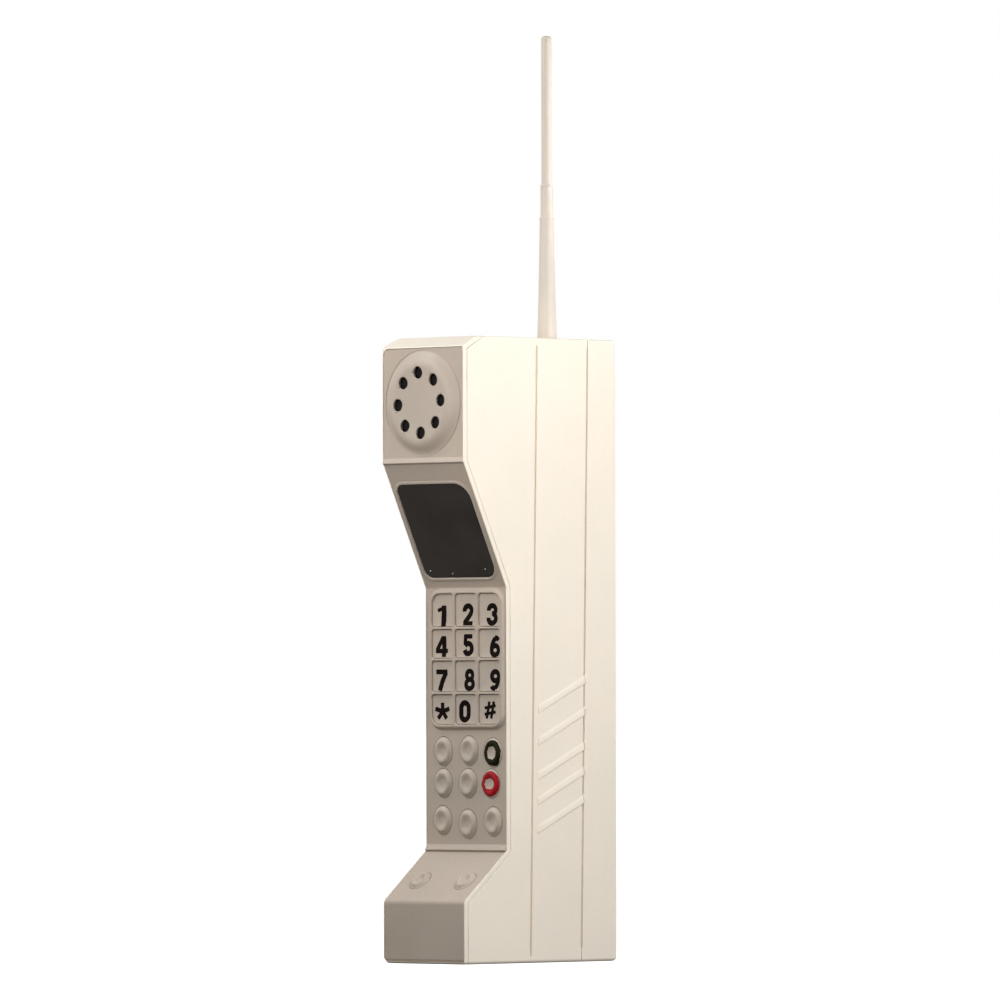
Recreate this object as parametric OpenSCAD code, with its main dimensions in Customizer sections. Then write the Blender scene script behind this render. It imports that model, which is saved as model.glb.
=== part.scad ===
// Toy brick phone: a tall handset with a stepped front, a round ear dish, a smoked screen,
// number keys, round function buttons, a battery cover that slides and a pull-out antenna.
// Millimetres. X runs across the phone, the front faces -Y and Z is up.
// The origin is the middle of the footprint, on the surface that the phone stands on.

/* [Body] */
// Width across the two sides
body_w = 46; // [45:0.5:50]
// Depth of the sides, from the ear face to the back
body_d = 87; // [85:0.5:92]
// Height of the body without its antenna
body_h = 250; // [249:1:258]
// Wall thickness of the shells
wall = 2; // [1.6:0.1:2.2]
// Radius of the rounded back edges
back_r = 3; // [1:0.5:5]

/* [Stepped front] */
// How far the keypad panel lies behind the ear face
recess = 24; // [22:0.5:26]
// Height of the chin's upright front
chin_z = 25; // [23:1:27]
// Height where the chin's slope meets the keypad panel
panel_z = 45; // [43:1:45]
// Height where the keypad panel meets the screen's slope
screen_z = 150; // [150:1:152]
// Height where the screen's slope meets the ear face
ear_z = 200; // [198:1:201]
// Height of the ear face's top edge
brow_z = 246; // [245:1:247]
// Depth of the bevel above the ear face
brow_d = 7.5; // [6:0.5:9]
// Thickness of the coloured front skin
skin_t = 0.6; // [0.4:0.1:0.8]
// Thickness of the frame plate behind the skin
frame_t = 1.4; // [1.2:0.1:1.6]

/* [Side seams and ribs] */
// Backward lean of both side seams, in degrees
seam_lean = 1; // [0:0.1:1.5]
// Distance of the first seam behind the ear face, at mid height
seam_1_back = 39.4; // [37:0.1:42]
// Distance of the second seam behind the ear face, at mid height
seam_2_back = 68.2; // [67:0.1:70]
// Width of the groove along a seam
groove_w = 0.8; // [0.4:0.1:1.2]
// Depth of the groove along a seam
groove_depth = 0.6; // [0.3:0.1:0.9]
// Height of each rib's lower front corner
rib_z = [51.9, 63.4, 73.9, 87.4, 100.1]; // [40:0.1:120]
// Rise angle of the ribs, in degrees
rib_rise = 24.5; // [15:0.5:30]
// Upright width of a rib
rib_w = 3.6; // [2:0.1:5]
// How far a rib stands out of the side
rib_out = 0.7; // [0.3:0.1:1.2]

/* [Ear dish] */
// Height of the dish's centre
dish_z = 223.6; // [222:0.2:225]
// Radius of the dish where it meets the ear face
dish_r = 21.2; // [20:0.1:22]
// Radius of the dish's rim
dish_rim_r = 17.6; // [16.5:0.1:18]
// How far the rim stands out of the ear face
dish_out = 2.4; // [1.8:0.1:3]
// Depth of the dish's face below its rim
dish_sink = 0.7; // [0.3:0.1:1]
// Radius of one sound hole
hole_r = 2.5; // [1.5:0.1:2.8]
// Radius of the ring of sound holes
hole_ring_r = 12.1; // [9:0.1:12.5]
// Turn of the ring of sound holes, in degrees
hole_turn = 3.5; // [0:0.5:22]

/* [Screen] */
// Width of the screen
screen_w = 40; // [36:0.5:41]
// Length of the screen along the slope
screen_l = 41; // [36:0.5:42]
// Corner radius of the screen
screen_r = 5.5; // [3:0.5:7]
// Distance from the slope's top edge to the screen's centre
screen_drop = 30.5; // [29:0.5:31]

/* [Number keys] */
// Sideways shift of all the keys from the middle of the front
pad_shift = 0.8; // [0:0.1:0.9]
// Width of the raised tray round the keys
tray_w = 41.4; // [40:0.1:41.6]
// Height of the tray's top edge
tray_top = 149; // [148:0.1:149.2]
// Corner radius of the tray
tray_r = 5.5; // [3:0.5:7]
// How far the tray stands out of the panel
tray_out = 1.2; // [0.8:0.1:1.6]
// Width of the tray's rim
tray_rim = 1.3; // [1.1:0.1:1.6]
// Width of the webs between keys
web_w = 1; // [0.8:0.1:1.2]
// Height of each row of keys, from the top row down
row_h = [13.3, 11.6, 12.5, 12]; // [11:0.1:13.4]
// Gap round a key
key_gap = 0.3; // [0.25:0.05:0.4]
// Depth of a key's face below the tray's webs
key_sink = 0.7; // [0.4:0.1:1]
// Travel of every key and button
travel = 1; // [0.6:0.1:1.2]

/* [Round buttons] */
// Width of a round button
button_w = 10.2; // [8:0.1:10.4]
// Height of a round button
button_h = 11.8; // [10.5:0.1:11.9]
// Sideways distance between round buttons
button_pitch = 14; // [12.5:0.1:14.2]
// Centre height of each row of round buttons, from the top
button_z = [84.5, 71.8, 56.2]; // [56:0.1:85]
// Gap round a button
button_gap = 0.25; // [0.2:0.05:0.3]
// How far a button's ring stands out of the front
button_out = 1.2; // [0.8:0.1:1.6]
// Sideways distance from the middle to a chin button
chin_button_x = 12.75; // [11:0.05:13.5]
// Distance from the top of the chin's slope to its buttons
chin_drop = 18.5; // [15:0.5:20]

/* [Antenna] */
// Sideways place of the antenna
mast_x = 8; // [0:0.5:9]
// Distance of the antenna behind the ear face
mast_back = 62.5; // [58:0.5:62.5]
// Radius at the foot of the tapered base
mast_foot_r = 3.9; // [3.8:0.1:4.5]
// Radius at the top of the tapered base
mast_neck_r = 2.8; // [2.8:0.1:3.2]
// Height of the tapered base
mast_base_h = 49.5; // [40:0.5:52]
// Outer radius of the collar tube
collar_r = 2.5; // [2.5:0.05:2.6]
// Height of the collar above the base
collar_h = 13; // [8:1:16]
// Radius of the sliding rod
rod_r = 2.1; // [1.6:0.05:2.1]
// Length of rod above the collar when pulled out
rod_out = 60; // [55:1:65]
// How far the rod slides down into its base
rod_slide = 55; // [30:1:55]

/* [Battery] */
// Radius of a battery
cell_r = 7.25; // [7:0.05:7.25]
// Length of a battery's can
cell_l = 49.2; // [44:0.1:49.2]
// Height of the battery box's lower end
box_z = 40; // [30:1:60]

/* [Hidden] */
$fn = 48;
KEY_NODES = ["key_1", "key_2", "key_3", "key_4", "key_5", "key_6",
             "key_7", "key_8", "key_9", "key_star", "key_0", "key_hash"];
BUTTON_NODES = ["memory_button_1", "memory_button_2", "call_button",
                "memory_button_3", "memory_button_4", "end_button",
                "volume_button", "lock_button", "power_button"];
CHIN_NODES = ["chin_button_left", "chin_button_right"];
CASE_NODES = ["front_frame", "fascia", "front_shell", "rear_shell", "battery_cover",
              "case_screws"];
SOUND_NODES = ["earpiece_dish", "dust_felt", "speaker_frame", "speaker_cone",
               "speaker_magnet", "speaker_wires"];
DISPLAY_NODES = ["display_lens", "display_panel", "indicator_leds"];
BOARD_NODES = ["keypad_frame", "keypad_mat", "main_board", "sound_chip", "board_screws",
               "chin_mat", "chin_board", "chin_wires"];
POWER_NODES = ["battery_box", "battery_1", "battery_2", "contact_springs",
               "contact_plates", "battery_wires"];
MAST_NODES = ["antenna_base", "antenna_tube", "antenna_nut", "antenna_rod"];

cream = [0.94, 0.90, 0.83];
taupe = [0.66, 0.61, 0.55];
key_tone = [0.72, 0.67, 0.61];

// Planes across the depth. The ear dish stands out of the ear face, so the body sits
// half its rise behind the origin.
y_front = dish_out - (body_d + dish_out) / 2;
y_deep = y_front + recess;
y_back = y_front + body_d;
y_brow = y_front + brow_d;
seam_1 = y_front + seam_1_back;
seam_2 = y_front + seam_2_back;
face_t = skin_t + frame_t;
inner_w = body_w - 2 * wall;
slope_a = 90 + atan(recess / (ear_z - screen_z));
chin_a = atan((panel_z - chin_z) / recess);

// Seams
groove_low = 3;
groove_high = body_h - 4;
cover_gap = 0.3;
rib_start = 3;
rib_tip = 1.1;

// Depths below the front of a panel, for keys and what lies behind them
rest_gap = 0.05;
flange_t = 1;
flange_lip = 0.25;
flange_top = -face_t - rest_gap;
dome_top = flange_top - flange_t - travel - 0.25;
dome_h = 0.5;
mat_t = 0.8;
board_top = dome_top - dome_h - mat_t;
board_t = 1.6;
board_back = board_top - board_t;
boss_r = 1.6;
pilot_r = 0.8;
boss_x = button_pitch / 2;
boss_z = [48, 92.6];
chin_boss_y = [-13.5, -23.5];
screw_head_r = 1.4;
screw_head_h = 1;

// Keypad
cell_w = (tray_w - 2 * tray_rim - 2 * web_w) / 3;
key_r = 1.4;
tray_inner_r = tray_r - tray_rim;

// Case screws and the posts that hold them
post_r = 3.4;
post_x = inner_w / 2 - 3.2;
post_z = [wall + 3.2, body_h - wall - 3.2];
post_top_y = y_front + 15;
case_pilot_r = 1.3;
case_clear_r = 1.6;
case_head_r = 2.5;
case_head_h = 1.8;
case_grip = 12;

// Speaker
speaker_r = 18;
felt_t = 0.5;
basket_h = 8;
magnet_r = 9;
magnet_h = 5;
opening_r = 15.5;

// Display
lens_t = 1;
lens_sink = 0.5;
panel_t = 1.2;
led_x = [-15.6, -1, 14];
led_drop = 48;

// Antenna
mast_y = y_front + mast_back;
stud_r = 3.3;
stud_h = 15;
nut_r = 5.5;
nut_t = 3;
tube_low = -14;
rod_bore_r = rod_r + 0.08;
rod_hold = 12;

// Battery box, in the frame of the second seam
cell_x = 7.9;
cell_y = 8.7;
nipple_r = 2.75;
nipple_h = 1.3;
box_wall = 1.2;
spring_h = 5;
spring_wire = 0.45;
plate_t = 0.5;
box_l = cell_l + nipple_h + spring_h + 2 * plate_t + 2 * box_wall;
box_w = 2 * (cell_x + cell_r + box_wall) + 0.8;
box_d = 13;
wire_hole_z = 112;

// Stepped front line, from the foot to the top, in Y and Z
skin_line = [[y_front, 0], [y_front, chin_z], [y_deep, panel_z], [y_deep, screen_z],
             [y_front, ear_z], [y_front, brow_z]];
front_line = concat(skin_line, [[y_brow, body_h]]);

function reversed(v) = [for (i = [len(v) - 1 : -1 : 0]) v[i]];
function side_normal(p, q) = let (d = q - p) [d[1], -d[0]] / norm(d);

// The line moved back by t, with mitred corners and ends on the same levels
function inset_line(line, t) =
    let (n = [for (i = [0 : len(line) - 2]) side_normal(line[i], line[i + 1])])
    let (last = len(line) - 1)
    concat([line[0] + [t / n[0][0], 0]],
           [for (i = [1 : last - 1]) line[i] + t * (n[i - 1] + n[i]) / (1 + n[i - 1] * n[i])],
           [line[last] + [t / n[last - 1][0], 0]]);

function seam_point(mid, z) = [mid + (z - body_h / 2) * tan(seam_lean), z];
function sum_to(v, n) = n == 0 ? 0 : v[n - 1] + sum_to(v, n - 1);

// Extrudes a Y-Z outline across X, about the middle
module across(w) {
    rotate([90, 0, 90])
        linear_extrude(w, center = true) children();
}

// Stands children on a front panel: x across, y up the panel and z out of it
module on_face(y, z, angle) {
    translate([0, y, z]) rotate([angle, 0, 0]) children();
}

// Extrudes from depth a to depth b of the panel's own z
module slab(a, b) {
    translate([0, 0, a]) linear_extrude(b - a) children();
}

module round_rect(w, h, r) {
    square([w - 2 * r, h], center = true);
    square([w, h - 2 * r], center = true);
    for (x = [-1, 1], y = [-1, 1])
        translate([x * (w / 2 - r), y * (h / 2 - r)]) circle(r);
}

module stadium(w, h) {
    square([w, h - w], center = true);
    for (y = [-1, 1])
        translate([0, y * (h - w) / 2]) circle(d = w);
}

module panel_face() on_face(y_deep, 0, 90) children();
module ear_face() on_face(y_front, dish_z, 90) children();
module screen_face() on_face(y_front, ear_z, slope_a) translate([0, -screen_drop, 0]) children();
module chin_face() on_face(y_deep, panel_z, chin_a) children();

// Leans children with the seams, about mid height
module along_seam(mid) {
    translate([0, mid, body_h / 2]) rotate([-seam_lean, 0, 0])
        translate([0, 0, -body_h / 2]) children();
}

// ---- Outlines of the keys and buttons ----

function row_top(r) = tray_top - tray_rim - sum_to(row_h, r) - r * web_w;
function key_x(i) = pad_shift + (i % 3 - 1) * (cell_w + web_w);
function key_z(i) = row_top(floor(i / 3)) - row_h[floor(i / 3)] / 2;
function key_h(i) = row_h[floor(i / 3)];
tray_h = sum_to(row_h, 4) + 3 * web_w + 2 * tray_rim;
tray_mid = tray_top - tray_h / 2;

module tray_outline() translate([pad_shift, tray_mid]) round_rect(tray_w, tray_h, tray_r);

// The opening of key i, or the key itself with shrink set to its gap
module key_outline(i, shrink = 0) {
    intersection() {
        translate([key_x(i), key_z(i)])
            round_rect(cell_w - 2 * shrink, key_h(i) - 2 * shrink, key_r);
        translate([pad_shift, tray_mid])
            round_rect(tray_w - 2 * tray_rim - 2 * shrink, tray_h - 2 * tray_rim - 2 * shrink,
                       tray_inner_r);
    }
}

function button_x(i) = pad_shift + (i % 3 - 1) * button_pitch;
function button_mid(i) = [button_x(i), button_z[floor(i / 3)]];
function chin_mid(i) = [pad_shift + (2 * i - 1) * chin_button_x, -chin_drop];

module button_opening(mid)
    translate(mid) stadium(button_w + 2 * button_gap, button_h + 2 * button_gap);

// Every opening of the front, cut from depth a to depth b
module front_openings(a, b) {
    panel_face() slab(a, b) {
        for (i = [0 : 11]) key_outline(i);
        for (i = [0 : 8]) button_opening(button_mid(i));
    }
    chin_face() slab(a, b)
        for (i = [0 : 1]) button_opening(chin_mid(i));
    ear_face() slab(a, b) circle(opening_r);
}

// ---- Case ----

// Coloured skin over the whole stepped front
module fascia() {
    color(taupe) difference() {
        across(body_w)
            polygon(concat(skin_line, reversed(inset_line(skin_line, skin_t))));
        front_openings(-2 * skin_t, skin_t);
        screen_face() slab(-2 * skin_t, skin_t) round_rect(screen_w, screen_l, screen_r);
    }
}

// Frame plate behind the skin, with the bevelled brow and the board bosses
module front_frame() {
    frame_line = concat(inset_line(skin_line, skin_t), [[y_front, brow_z], [y_brow, body_h]],
                        reversed(inset_line(front_line, face_t)));
    ledge = 4;
    color(cream) difference() {
        union() {
            across(body_w) polygon(frame_line);
            panel_face() slab(board_top, -face_t + 0.1) bosses(boss_r);
            chin_face() slab(board_top, -face_t + 0.1) chin_bosses(boss_r);
        }
        front_openings(-face_t - 1, 0);
        screen_face() {
            slab(-lens_sink - lens_t, 1) round_rect(screen_w, screen_l, screen_r);
            slab(-face_t - 1, 1)
                round_rect(screen_w - ledge, screen_l - ledge, screen_r - ledge / 2);
        }
        panel_face() slab(board_top - 1, -face_t) bosses(pilot_r);
        chin_face() slab(board_top - 1, -face_t) chin_bosses(pilot_r);
    }
}

module bosses(r)
    for (x = [-1, 1], z = boss_z) translate([pad_shift + x * boss_x, z]) circle(r);

module chin_bosses(r)
    for (y = chin_boss_y) translate([pad_shift, y]) circle(r);

// A groove along a seam, on both sides
module side_grooves(mid) {
    half = [groove_w / 2, 0];
    low = seam_point(mid, groove_low);
    high = seam_point(mid, groove_high);
    for (x = [-1, 1])
        translate([x * body_w / 2, 0, 0]) across(2 * groove_depth)
            polygon([low - half, low + half, high + half, high - half]);
}

// The hollow inside the shells, open to front and back
module hollow() {
    across(inner_w)
        translate([-body_d, wall]) square([2 * body_d, body_h - 2 * wall]);
}

module posts(r, a, b)
    for (x = [-1, 1], z = post_z)
        translate([x * post_x, a, z]) rotate([-90, 0, 0]) cylinder(r = r, h = b - a);

module front_shell_outline() {
    polygon(concat(reversed(inset_line(front_line, face_t)),
                   [seam_point(seam_1, 0), seam_point(seam_1, body_h)]));
}

module front_shell() {
    color(cream) difference() {
        union() {
            difference() {
                across(body_w) front_shell_outline();
                hollow();
            }
            intersection() {
                posts(post_r, post_top_y, seam_2);
                across(body_w) front_shell_outline();
            }
        }
        for (x = [-1, 1], z = post_z)
            translate([x * post_x, seam_point(seam_1, z)[0] - case_grip, z])
                rotate([-90, 0, 0]) cylinder(r = case_pilot_r, h = 2 * case_grip);
        side_grooves(seam_1);
    }
}

// Outline of one rib between two distances from the first seam's own line
module rib_outline(z, from, to) {
    start = seam_point(seam_1, z)[0] + rib_start;
    rise = tan(rib_rise);
    a = [from, z + (from - start) * rise];
    b = [to, z + (to - start) * rise];
    polygon([a, b, b + [0, rib_w], a + [0, rib_w]]);
}

// Where a rib crosses the second seam
function rib_cross(z) = seam_point(seam_2, z + (seam_2 - seam_1) * tan(rib_rise))[0];

module on_sides(t)
    for (x = [-1, 1])
        translate([x * (body_w + t) / 2, 0, 0]) across(t) children();

module rear_shell() {
    region = [seam_point(seam_1, 0), seam_point(seam_2, 0), seam_point(seam_2, body_h),
              seam_point(seam_1, body_h)];
    bulkhead = [seam_point(seam_2 - wall, 0), seam_point(seam_2, 0),
                seam_point(seam_2, body_h), seam_point(seam_2 - wall, body_h)];
    color(cream) {
        difference() {
            union() {
                difference() {
                    across(body_w) polygon(region);
                    hollow();
                }
                across(inner_w + 1) polygon(bulkhead);
                intersection() {
                    posts(post_r, seam_1 - 5, seam_2 + 5);
                    across(body_w) polygon(region);
                }
            }
            posts(case_clear_r, seam_1 - 10, seam_2 + 10);
            for (x = [-1, 1], z = post_z)
                translate([x * post_x, seam_point(seam_2, z)[0] - case_head_h - 0.2, z])
                    rotate([-90, 0, 0]) cylinder(r = case_head_r + 0.2, h = 10);
            side_grooves(seam_1);
            side_grooves(seam_2);
            translate([mast_x, mast_y, body_h - 2 * wall]) cylinder(r = stud_r, h = 3 * wall);
            along_seam(seam_2) translate([0, -2 * wall, wire_hole_z])
                rotate([-90, 0, 0]) cylinder(r = 2, h = 4 * wall);
        }
        on_sides(rib_out)
            for (z = rib_z) {
                start = seam_point(seam_1, z)[0] + rib_start;
                rib_outline(z, start, rib_cross(z) - cover_gap / 2);
            }
    }
}

// Back part of the case, which slides up its seam to open
module battery_cover() {
    foot = [cover_gap, 0];
    region = [seam_point(seam_2, 0) + foot, [y_back, 0], [y_back, body_h],
              seam_point(seam_2, body_h) + foot];
    color(cream) {
        difference() {
            intersection() {
                across(body_w) polygon(region);
                across(body_w) translate([0, body_h / 2])
                    round_rect(2 * y_back, body_h, back_r);
                linear_extrude(body_h) round_rect(body_w, 2 * y_back, back_r);
            }
            across(inner_w)
                translate([0, wall]) square([y_back - wall, body_h - 2 * wall]);
            side_grooves(seam_2 + cover_gap);
        }
        on_sides(rib_out)
            for (z = rib_z)
                rib_outline(z, rib_cross(z) + cover_gap / 2 + 0.15,
                            rib_cross(z) + cover_gap / 2 + rib_tip);
    }
}

module case_screws() {
    color("silver")
        for (x = [-1, 1], z = post_z) {
            head_y = seam_point(seam_2, z)[0] - case_head_h - 0.2;
            tip_y = seam_point(seam_1, z)[0] - case_grip;
            translate([x * post_x, 0, z]) rotate([-90, 0, 0]) difference() {
                union() {
                    translate([0, 0, head_y]) cylinder(r = case_head_r, h = case_head_h);
                    translate([0, 0, tip_y]) cylinder(r = case_pilot_r, h = head_y - tip_y);
                }
                translate([0, 0, head_y + case_head_h - 1]) {
                    translate([-2, -0.3, 0]) cube([4, 0.6, 2]);
                    translate([-0.3, -2, 0]) cube([0.6, 4, 2]);
                }
            }
        }
}

// ---- Sound ----

// Round dish with a sloped skirt, a soft rim and a sunken face with a ring of holes
module earpiece_dish() {
    face_z = dish_out - dish_sink;
    rim_w = 1.6;
    color(key_tone) ear_face() difference() {
        rotate_extrude($fn = 96)
            polygon([[0, 0], [dish_r, 0], [dish_r, 0.2], [dish_rim_r, dish_out],
                     [dish_rim_r - rim_w, dish_out], [dish_rim_r - 2 * rim_w, face_z],
                     [0, face_z]]);
        for (i = [0 : 7])
            rotate(hole_turn + i * 45) translate([hole_ring_r, 0, -1])
                cylinder(r = hole_r, h = dish_out + 2);
    }
}

module dust_felt() {
    color([0.09, 0.08, 0.08]) ear_face() slab(-felt_t, 0) circle(opening_r);
}

// Steel basket: a flat flange, a cone and a seat for the magnet
module speaker_frame() {
    flange = 1;
    color([0.35, 0.36, 0.38]) ear_face() translate([0, 0, -face_t]) rotate_extrude()
        polygon([[speaker_r, 0], [speaker_r, -flange], [opening_r + 0.7, -flange],
                 [magnet_r, -basket_h], [3, -basket_h], [3, 1 - basket_h],
                 [magnet_r - 0.6, 1 - basket_h], [opening_r - 0.4, 0]]);
}

module speaker_cone() {
    edge_z = -face_t - 0.1;
    color([0.14, 0.12, 0.11]) ear_face() rotate_extrude()
        polygon([[0, -6.5], [4, -6.5], [6, -5.8], [opening_r - 1, edge_z - 0.4],
                 [opening_r - 1, edge_z], [6, -5.4], [4, -6.1], [0, -6.1]]);
}

module speaker_magnet() {
    color([0.2, 0.2, 0.21]) ear_face()
        slab(-face_t - basket_h - magnet_h, -face_t - basket_h) circle(magnet_r);
}

// ---- Display ----

module display_lens() {
    color([0.13, 0.12, 0.12]) screen_face()
        slab(-lens_sink - lens_t, -lens_sink)
            round_rect(screen_w - 0.2, screen_l - 0.2, screen_r - 0.1);
}

module display_panel() {
    color([0.2, 0.21, 0.2]) screen_face() difference() {
        slab(-face_t - panel_t, -face_t) square([screen_w - 2, screen_l - 2], center = true);
        translate([0, screen_drop - led_drop, 0]) led_row(0.9, -face_t - 2 * panel_t, 0);
    }
}

module led_row(r, a, b)
    for (x = led_x) translate([x, 0, 0]) slab(a, b) circle(r);

module indicator_leds() {
    color([0.75, 0.72, 0.66]) screen_face()
        translate([0, screen_drop - led_drop, 0])
            led_row(0.8, -face_t - panel_t, -face_t + 0.2);
}

// ---- Keypad ----

// Raised tray with a web round each number key
module keypad_frame() {
    color(taupe) panel_face() slab(0, tray_out) difference() {
        tray_outline();
        for (i = [0 : 11]) key_outline(i);
    }
}

module number_key(i) {
    color(key_tone) panel_face() {
        slab(flange_top, tray_out - key_sink) key_outline(i, key_gap);
        slab(flange_top - flange_t, flange_top) translate([key_x(i), key_z(i)])
            square([cell_w, key_h(i)] + 2 * flange_lip * [1, 1], center = true);
    }
}

// A button like a small crater: a raised ring round a dimple, on a stem with two side lugs
module round_button(mid, tone) {
    dimple_r = 4;
    dimple_deep = 0.9;
    ring_in = 1.6;
    lug_w = button_w + 2 * button_gap + 2 * flange_lip;
    lug_h = 6;
    color(tone) translate(mid) {
        difference() {
            union() {
                slab(flange_top - flange_t, button_out - 0.5) stadium(button_w, button_h);
                slab(flange_top, button_out) stadium(button_w - ring_in, button_h - ring_in);
            }
            translate([0, 0, button_out + dimple_r - dimple_deep]) sphere(dimple_r);
        }
        slab(flange_top - flange_t, flange_top) square([lug_w, lug_h], center = true);
    }
}

function button_tone(i) = i == 2 ? [0.05, 0.16, 0.09] : i == 5 ? [0.66, 0.09, 0.13] : key_tone;

module panel_button(i) panel_face() round_button(button_mid(i), button_tone(i));
module chin_button(i) chin_face() round_button(chin_mid(i), key_tone);

// Silicone sheet with a dome behind every key and button
module keypad_mat() {
    mat_w = inner_w - 2;
    mat_low = 47;
    mat_high = tray_top - 1;
    color([0.55, 0.55, 0.56]) panel_face() {
        slab(board_top, board_top + mat_t) difference() {
            translate([-mat_w / 2, mat_low]) square([mat_w, mat_high - mat_low]);
            bosses(boss_r);
        }
        slab(board_top + mat_t, dome_top) {
            for (i = [0 : 11]) translate([key_x(i), key_z(i)]) circle(3);
            for (i = [0 : 8]) translate(button_mid(i)) circle(3);
        }
    }
}

module main_board() {
    board_w = inner_w - 1;
    board_low = 46.2;
    color([0.09, 0.3, 0.16]) panel_face() slab(board_back, board_top) difference() {
        translate([-board_w / 2, board_low]) square([board_w, tray_top - board_low]);
        bosses(pilot_r);
    }
}

module sound_chip() {
    color([0.05, 0.05, 0.05]) panel_face() translate([0, 115, board_back - 1.5])
        cylinder(r1 = 4, r2 = 5.5, h = 1.5);
}

// One pan-head screw that points out of the panel's front
module board_screw() {
    translate([0, 0, board_back]) cylinder(r = pilot_r, h = 4);
    difference() {
        translate([0, 0, board_back - screw_head_h]) cylinder(r = screw_head_r, h = screw_head_h);
        for (a = [0, 90])
            rotate(a) translate([-1, -0.2, board_back - 1.5 * screw_head_h]) cube([2, 0.4, 1]);
    }
}

module board_screws() {
    color("silver") {
        panel_face()
            for (x = [-1, 1], z = boss_z) translate([pad_shift + x * boss_x, z, 0]) board_screw();
        chin_face()
            for (y = chin_boss_y) translate([pad_shift, y, 0]) board_screw();
    }
}

chin_board_w = 37;
chin_board_h = 15;

module chin_mat() {
    color([0.55, 0.55, 0.56]) chin_face() {
        slab(board_top, board_top + mat_t) difference() {
            translate([pad_shift, -chin_drop])
                square([chin_board_w, chin_board_h], center = true);
            chin_bosses(boss_r);
        }
        slab(board_top + mat_t, dome_top)
            for (i = [0 : 1]) translate(chin_mid(i)) circle(3);
    }
}

module chin_board() {
    color([0.09, 0.3, 0.16]) chin_face() slab(board_back, board_top) difference() {
        translate([pad_shift, -chin_drop]) square([chin_board_w, chin_board_h], center = true);
        chin_bosses(pilot_r);
    }
}

// ---- Wires ----

// A point on the smooth curve through p, between points i and i + 1
function spline(p, i, t) =
    let (a = p[max(i - 1, 0)], b = p[i], c = p[i + 1], d = p[min(i + 2, len(p) - 1)])
    0.5 * (2 * b + (c - a) * t + (2 * a - 5 * b + 4 * c - d) * t * t
           + (3 * b - a - 3 * c + d) * t * t * t);

function smooth(p, steps) =
    concat([for (i = [0 : len(p) - 2], s = [0 : steps - 1]) spline(p, i, s / steps)],
           [p[len(p) - 1]]);

function unit(v) = v / norm(v);

// Tube of radius r along points that never run along X
module tube(points, r) {
    sides = 8;
    path = smooth(points, 4);
    last = len(path) - 1;
    rings = [for (i = [0 : last])
        let (t = unit(path[min(i + 1, last)] - path[max(i - 1, 0)]))
        let (n = unit([1, 0, 0] - t * t[0]))
        let (b = cross(t, n))
        for (k = [0 : sides - 1])
            path[i] + r * (cos(k * 360 / sides) * n + sin(k * 360 / sides) * b)];
    skin = [for (i = [0 : last - 1], k = [0 : sides - 1])
        [i * sides + k, i * sides + (k + 1) % sides,
         (i + 1) * sides + (k + 1) % sides, (i + 1) * sides + k]];
    foot = [for (k = [0 : sides - 1]) sides - 1 - k];
    head = [for (k = [0 : sides - 1]) last * sides + k];
    polyhedron(rings, [for (f = concat([foot], skin, [head])) reversed(f)], convexity = 4);
}

wire_r = 0.6;
wire_gap = 2.4;
wire_end_gap = 0.05;
board_y = y_deep - board_back + wire_end_gap;

module speaker_wires() {
    route = [[0, -36.5, 214], [0, -34, 213.5], [0, -28, 210], [0, -18, 202], [0, -10, 188],
             [0, -6.5, 170], [0, -6.5, 152], [0, -7.2, 144], [0, -9.2, 142.2], [0, board_y, 142]];
    color([0.7, 0.1, 0.1]) translate([magnet_r + 1 + wire_gap, 0, 0]) tube(route, wire_r);
    color([0.1, 0.1, 0.1]) translate([magnet_r + 1, 0, 0]) tube(route, wire_r);
}

module chin_wires() {
    route = [[0, -23.5, 31], [0, -22.5, 29.5], [0, -19.5, 29], [0, -14.5, 31.5], [0, -9.5, 38],
             [0, -7.5, 47], [0, -7.8, 53.5], [0, -9.2, 55.7], [0, board_y, 56]];
    color([0.7, 0.1, 0.1]) translate([magnet_r + wire_gap, 0, 0]) tube(route, wire_r);
    color([0.1, 0.1, 0.1]) translate([magnet_r, 0, 0]) tube(route, wire_r);
}

module battery_wires() {
    route = [[0, 31.4, 99], [0, 31.4, 102], [0, 30.8, 107.5], [0, 28.5, 111], [0, 24.5, 112],
             [0, 18, 112.5], [0, 8, 117], [0, -3, 124], [0, -9.2, 125.8], [0, board_y, 126]];
    color([0.7, 0.1, 0.1]) translate([0.8, 0, 0]) tube(route, wire_r);
    color([0.1, 0.1, 0.1]) translate([-0.8, 0, 0]) tube(route, wire_r);
}

// ---- Power ----

// Open box that holds both batteries side by side on the bulkhead
module battery_box() {
    color([0.2, 0.2, 0.2]) along_seam(seam_2) translate([0, 0, box_z]) difference() {
        translate([-box_w / 2, 0, 0]) cube([box_w, box_d, box_l]);
        translate([box_wall - box_w / 2, box_wall, box_wall])
            cube([box_w - 2 * box_wall, box_d, box_l - 2 * box_wall]);
    }
}

// One battery, upright or turned over, with its nipple end
module battery(x, turned) {
    low = box_z + box_wall + plate_t;
    start = turned ? low + nipple_h : low + spring_h;
    tip = turned ? low : start + cell_l;
    color([0.16, 0.3, 0.55]) along_seam(seam_2) translate([x, cell_y, 0]) {
        translate([0, 0, start]) cylinder(r = cell_r, h = cell_l);
        translate([0, 0, tip]) cylinder(r = nipple_r, h = nipple_h);
    }
}

module battery_1() battery(-cell_x, false);
module battery_2() battery(cell_x, true);

// Short coil of stacked rings against each battery's flat end
module coil() {
    turns = 6;
    pitch = (spring_h - 2 * spring_wire) / (turns - 1);
    for (i = [0 : turns - 1])
        translate([0, 0, spring_wire + i * pitch])
            rotate_extrude($fn = 32) translate([3.2 - 0.25 * i / turns, 0]) circle(spring_wire);
}

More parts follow.
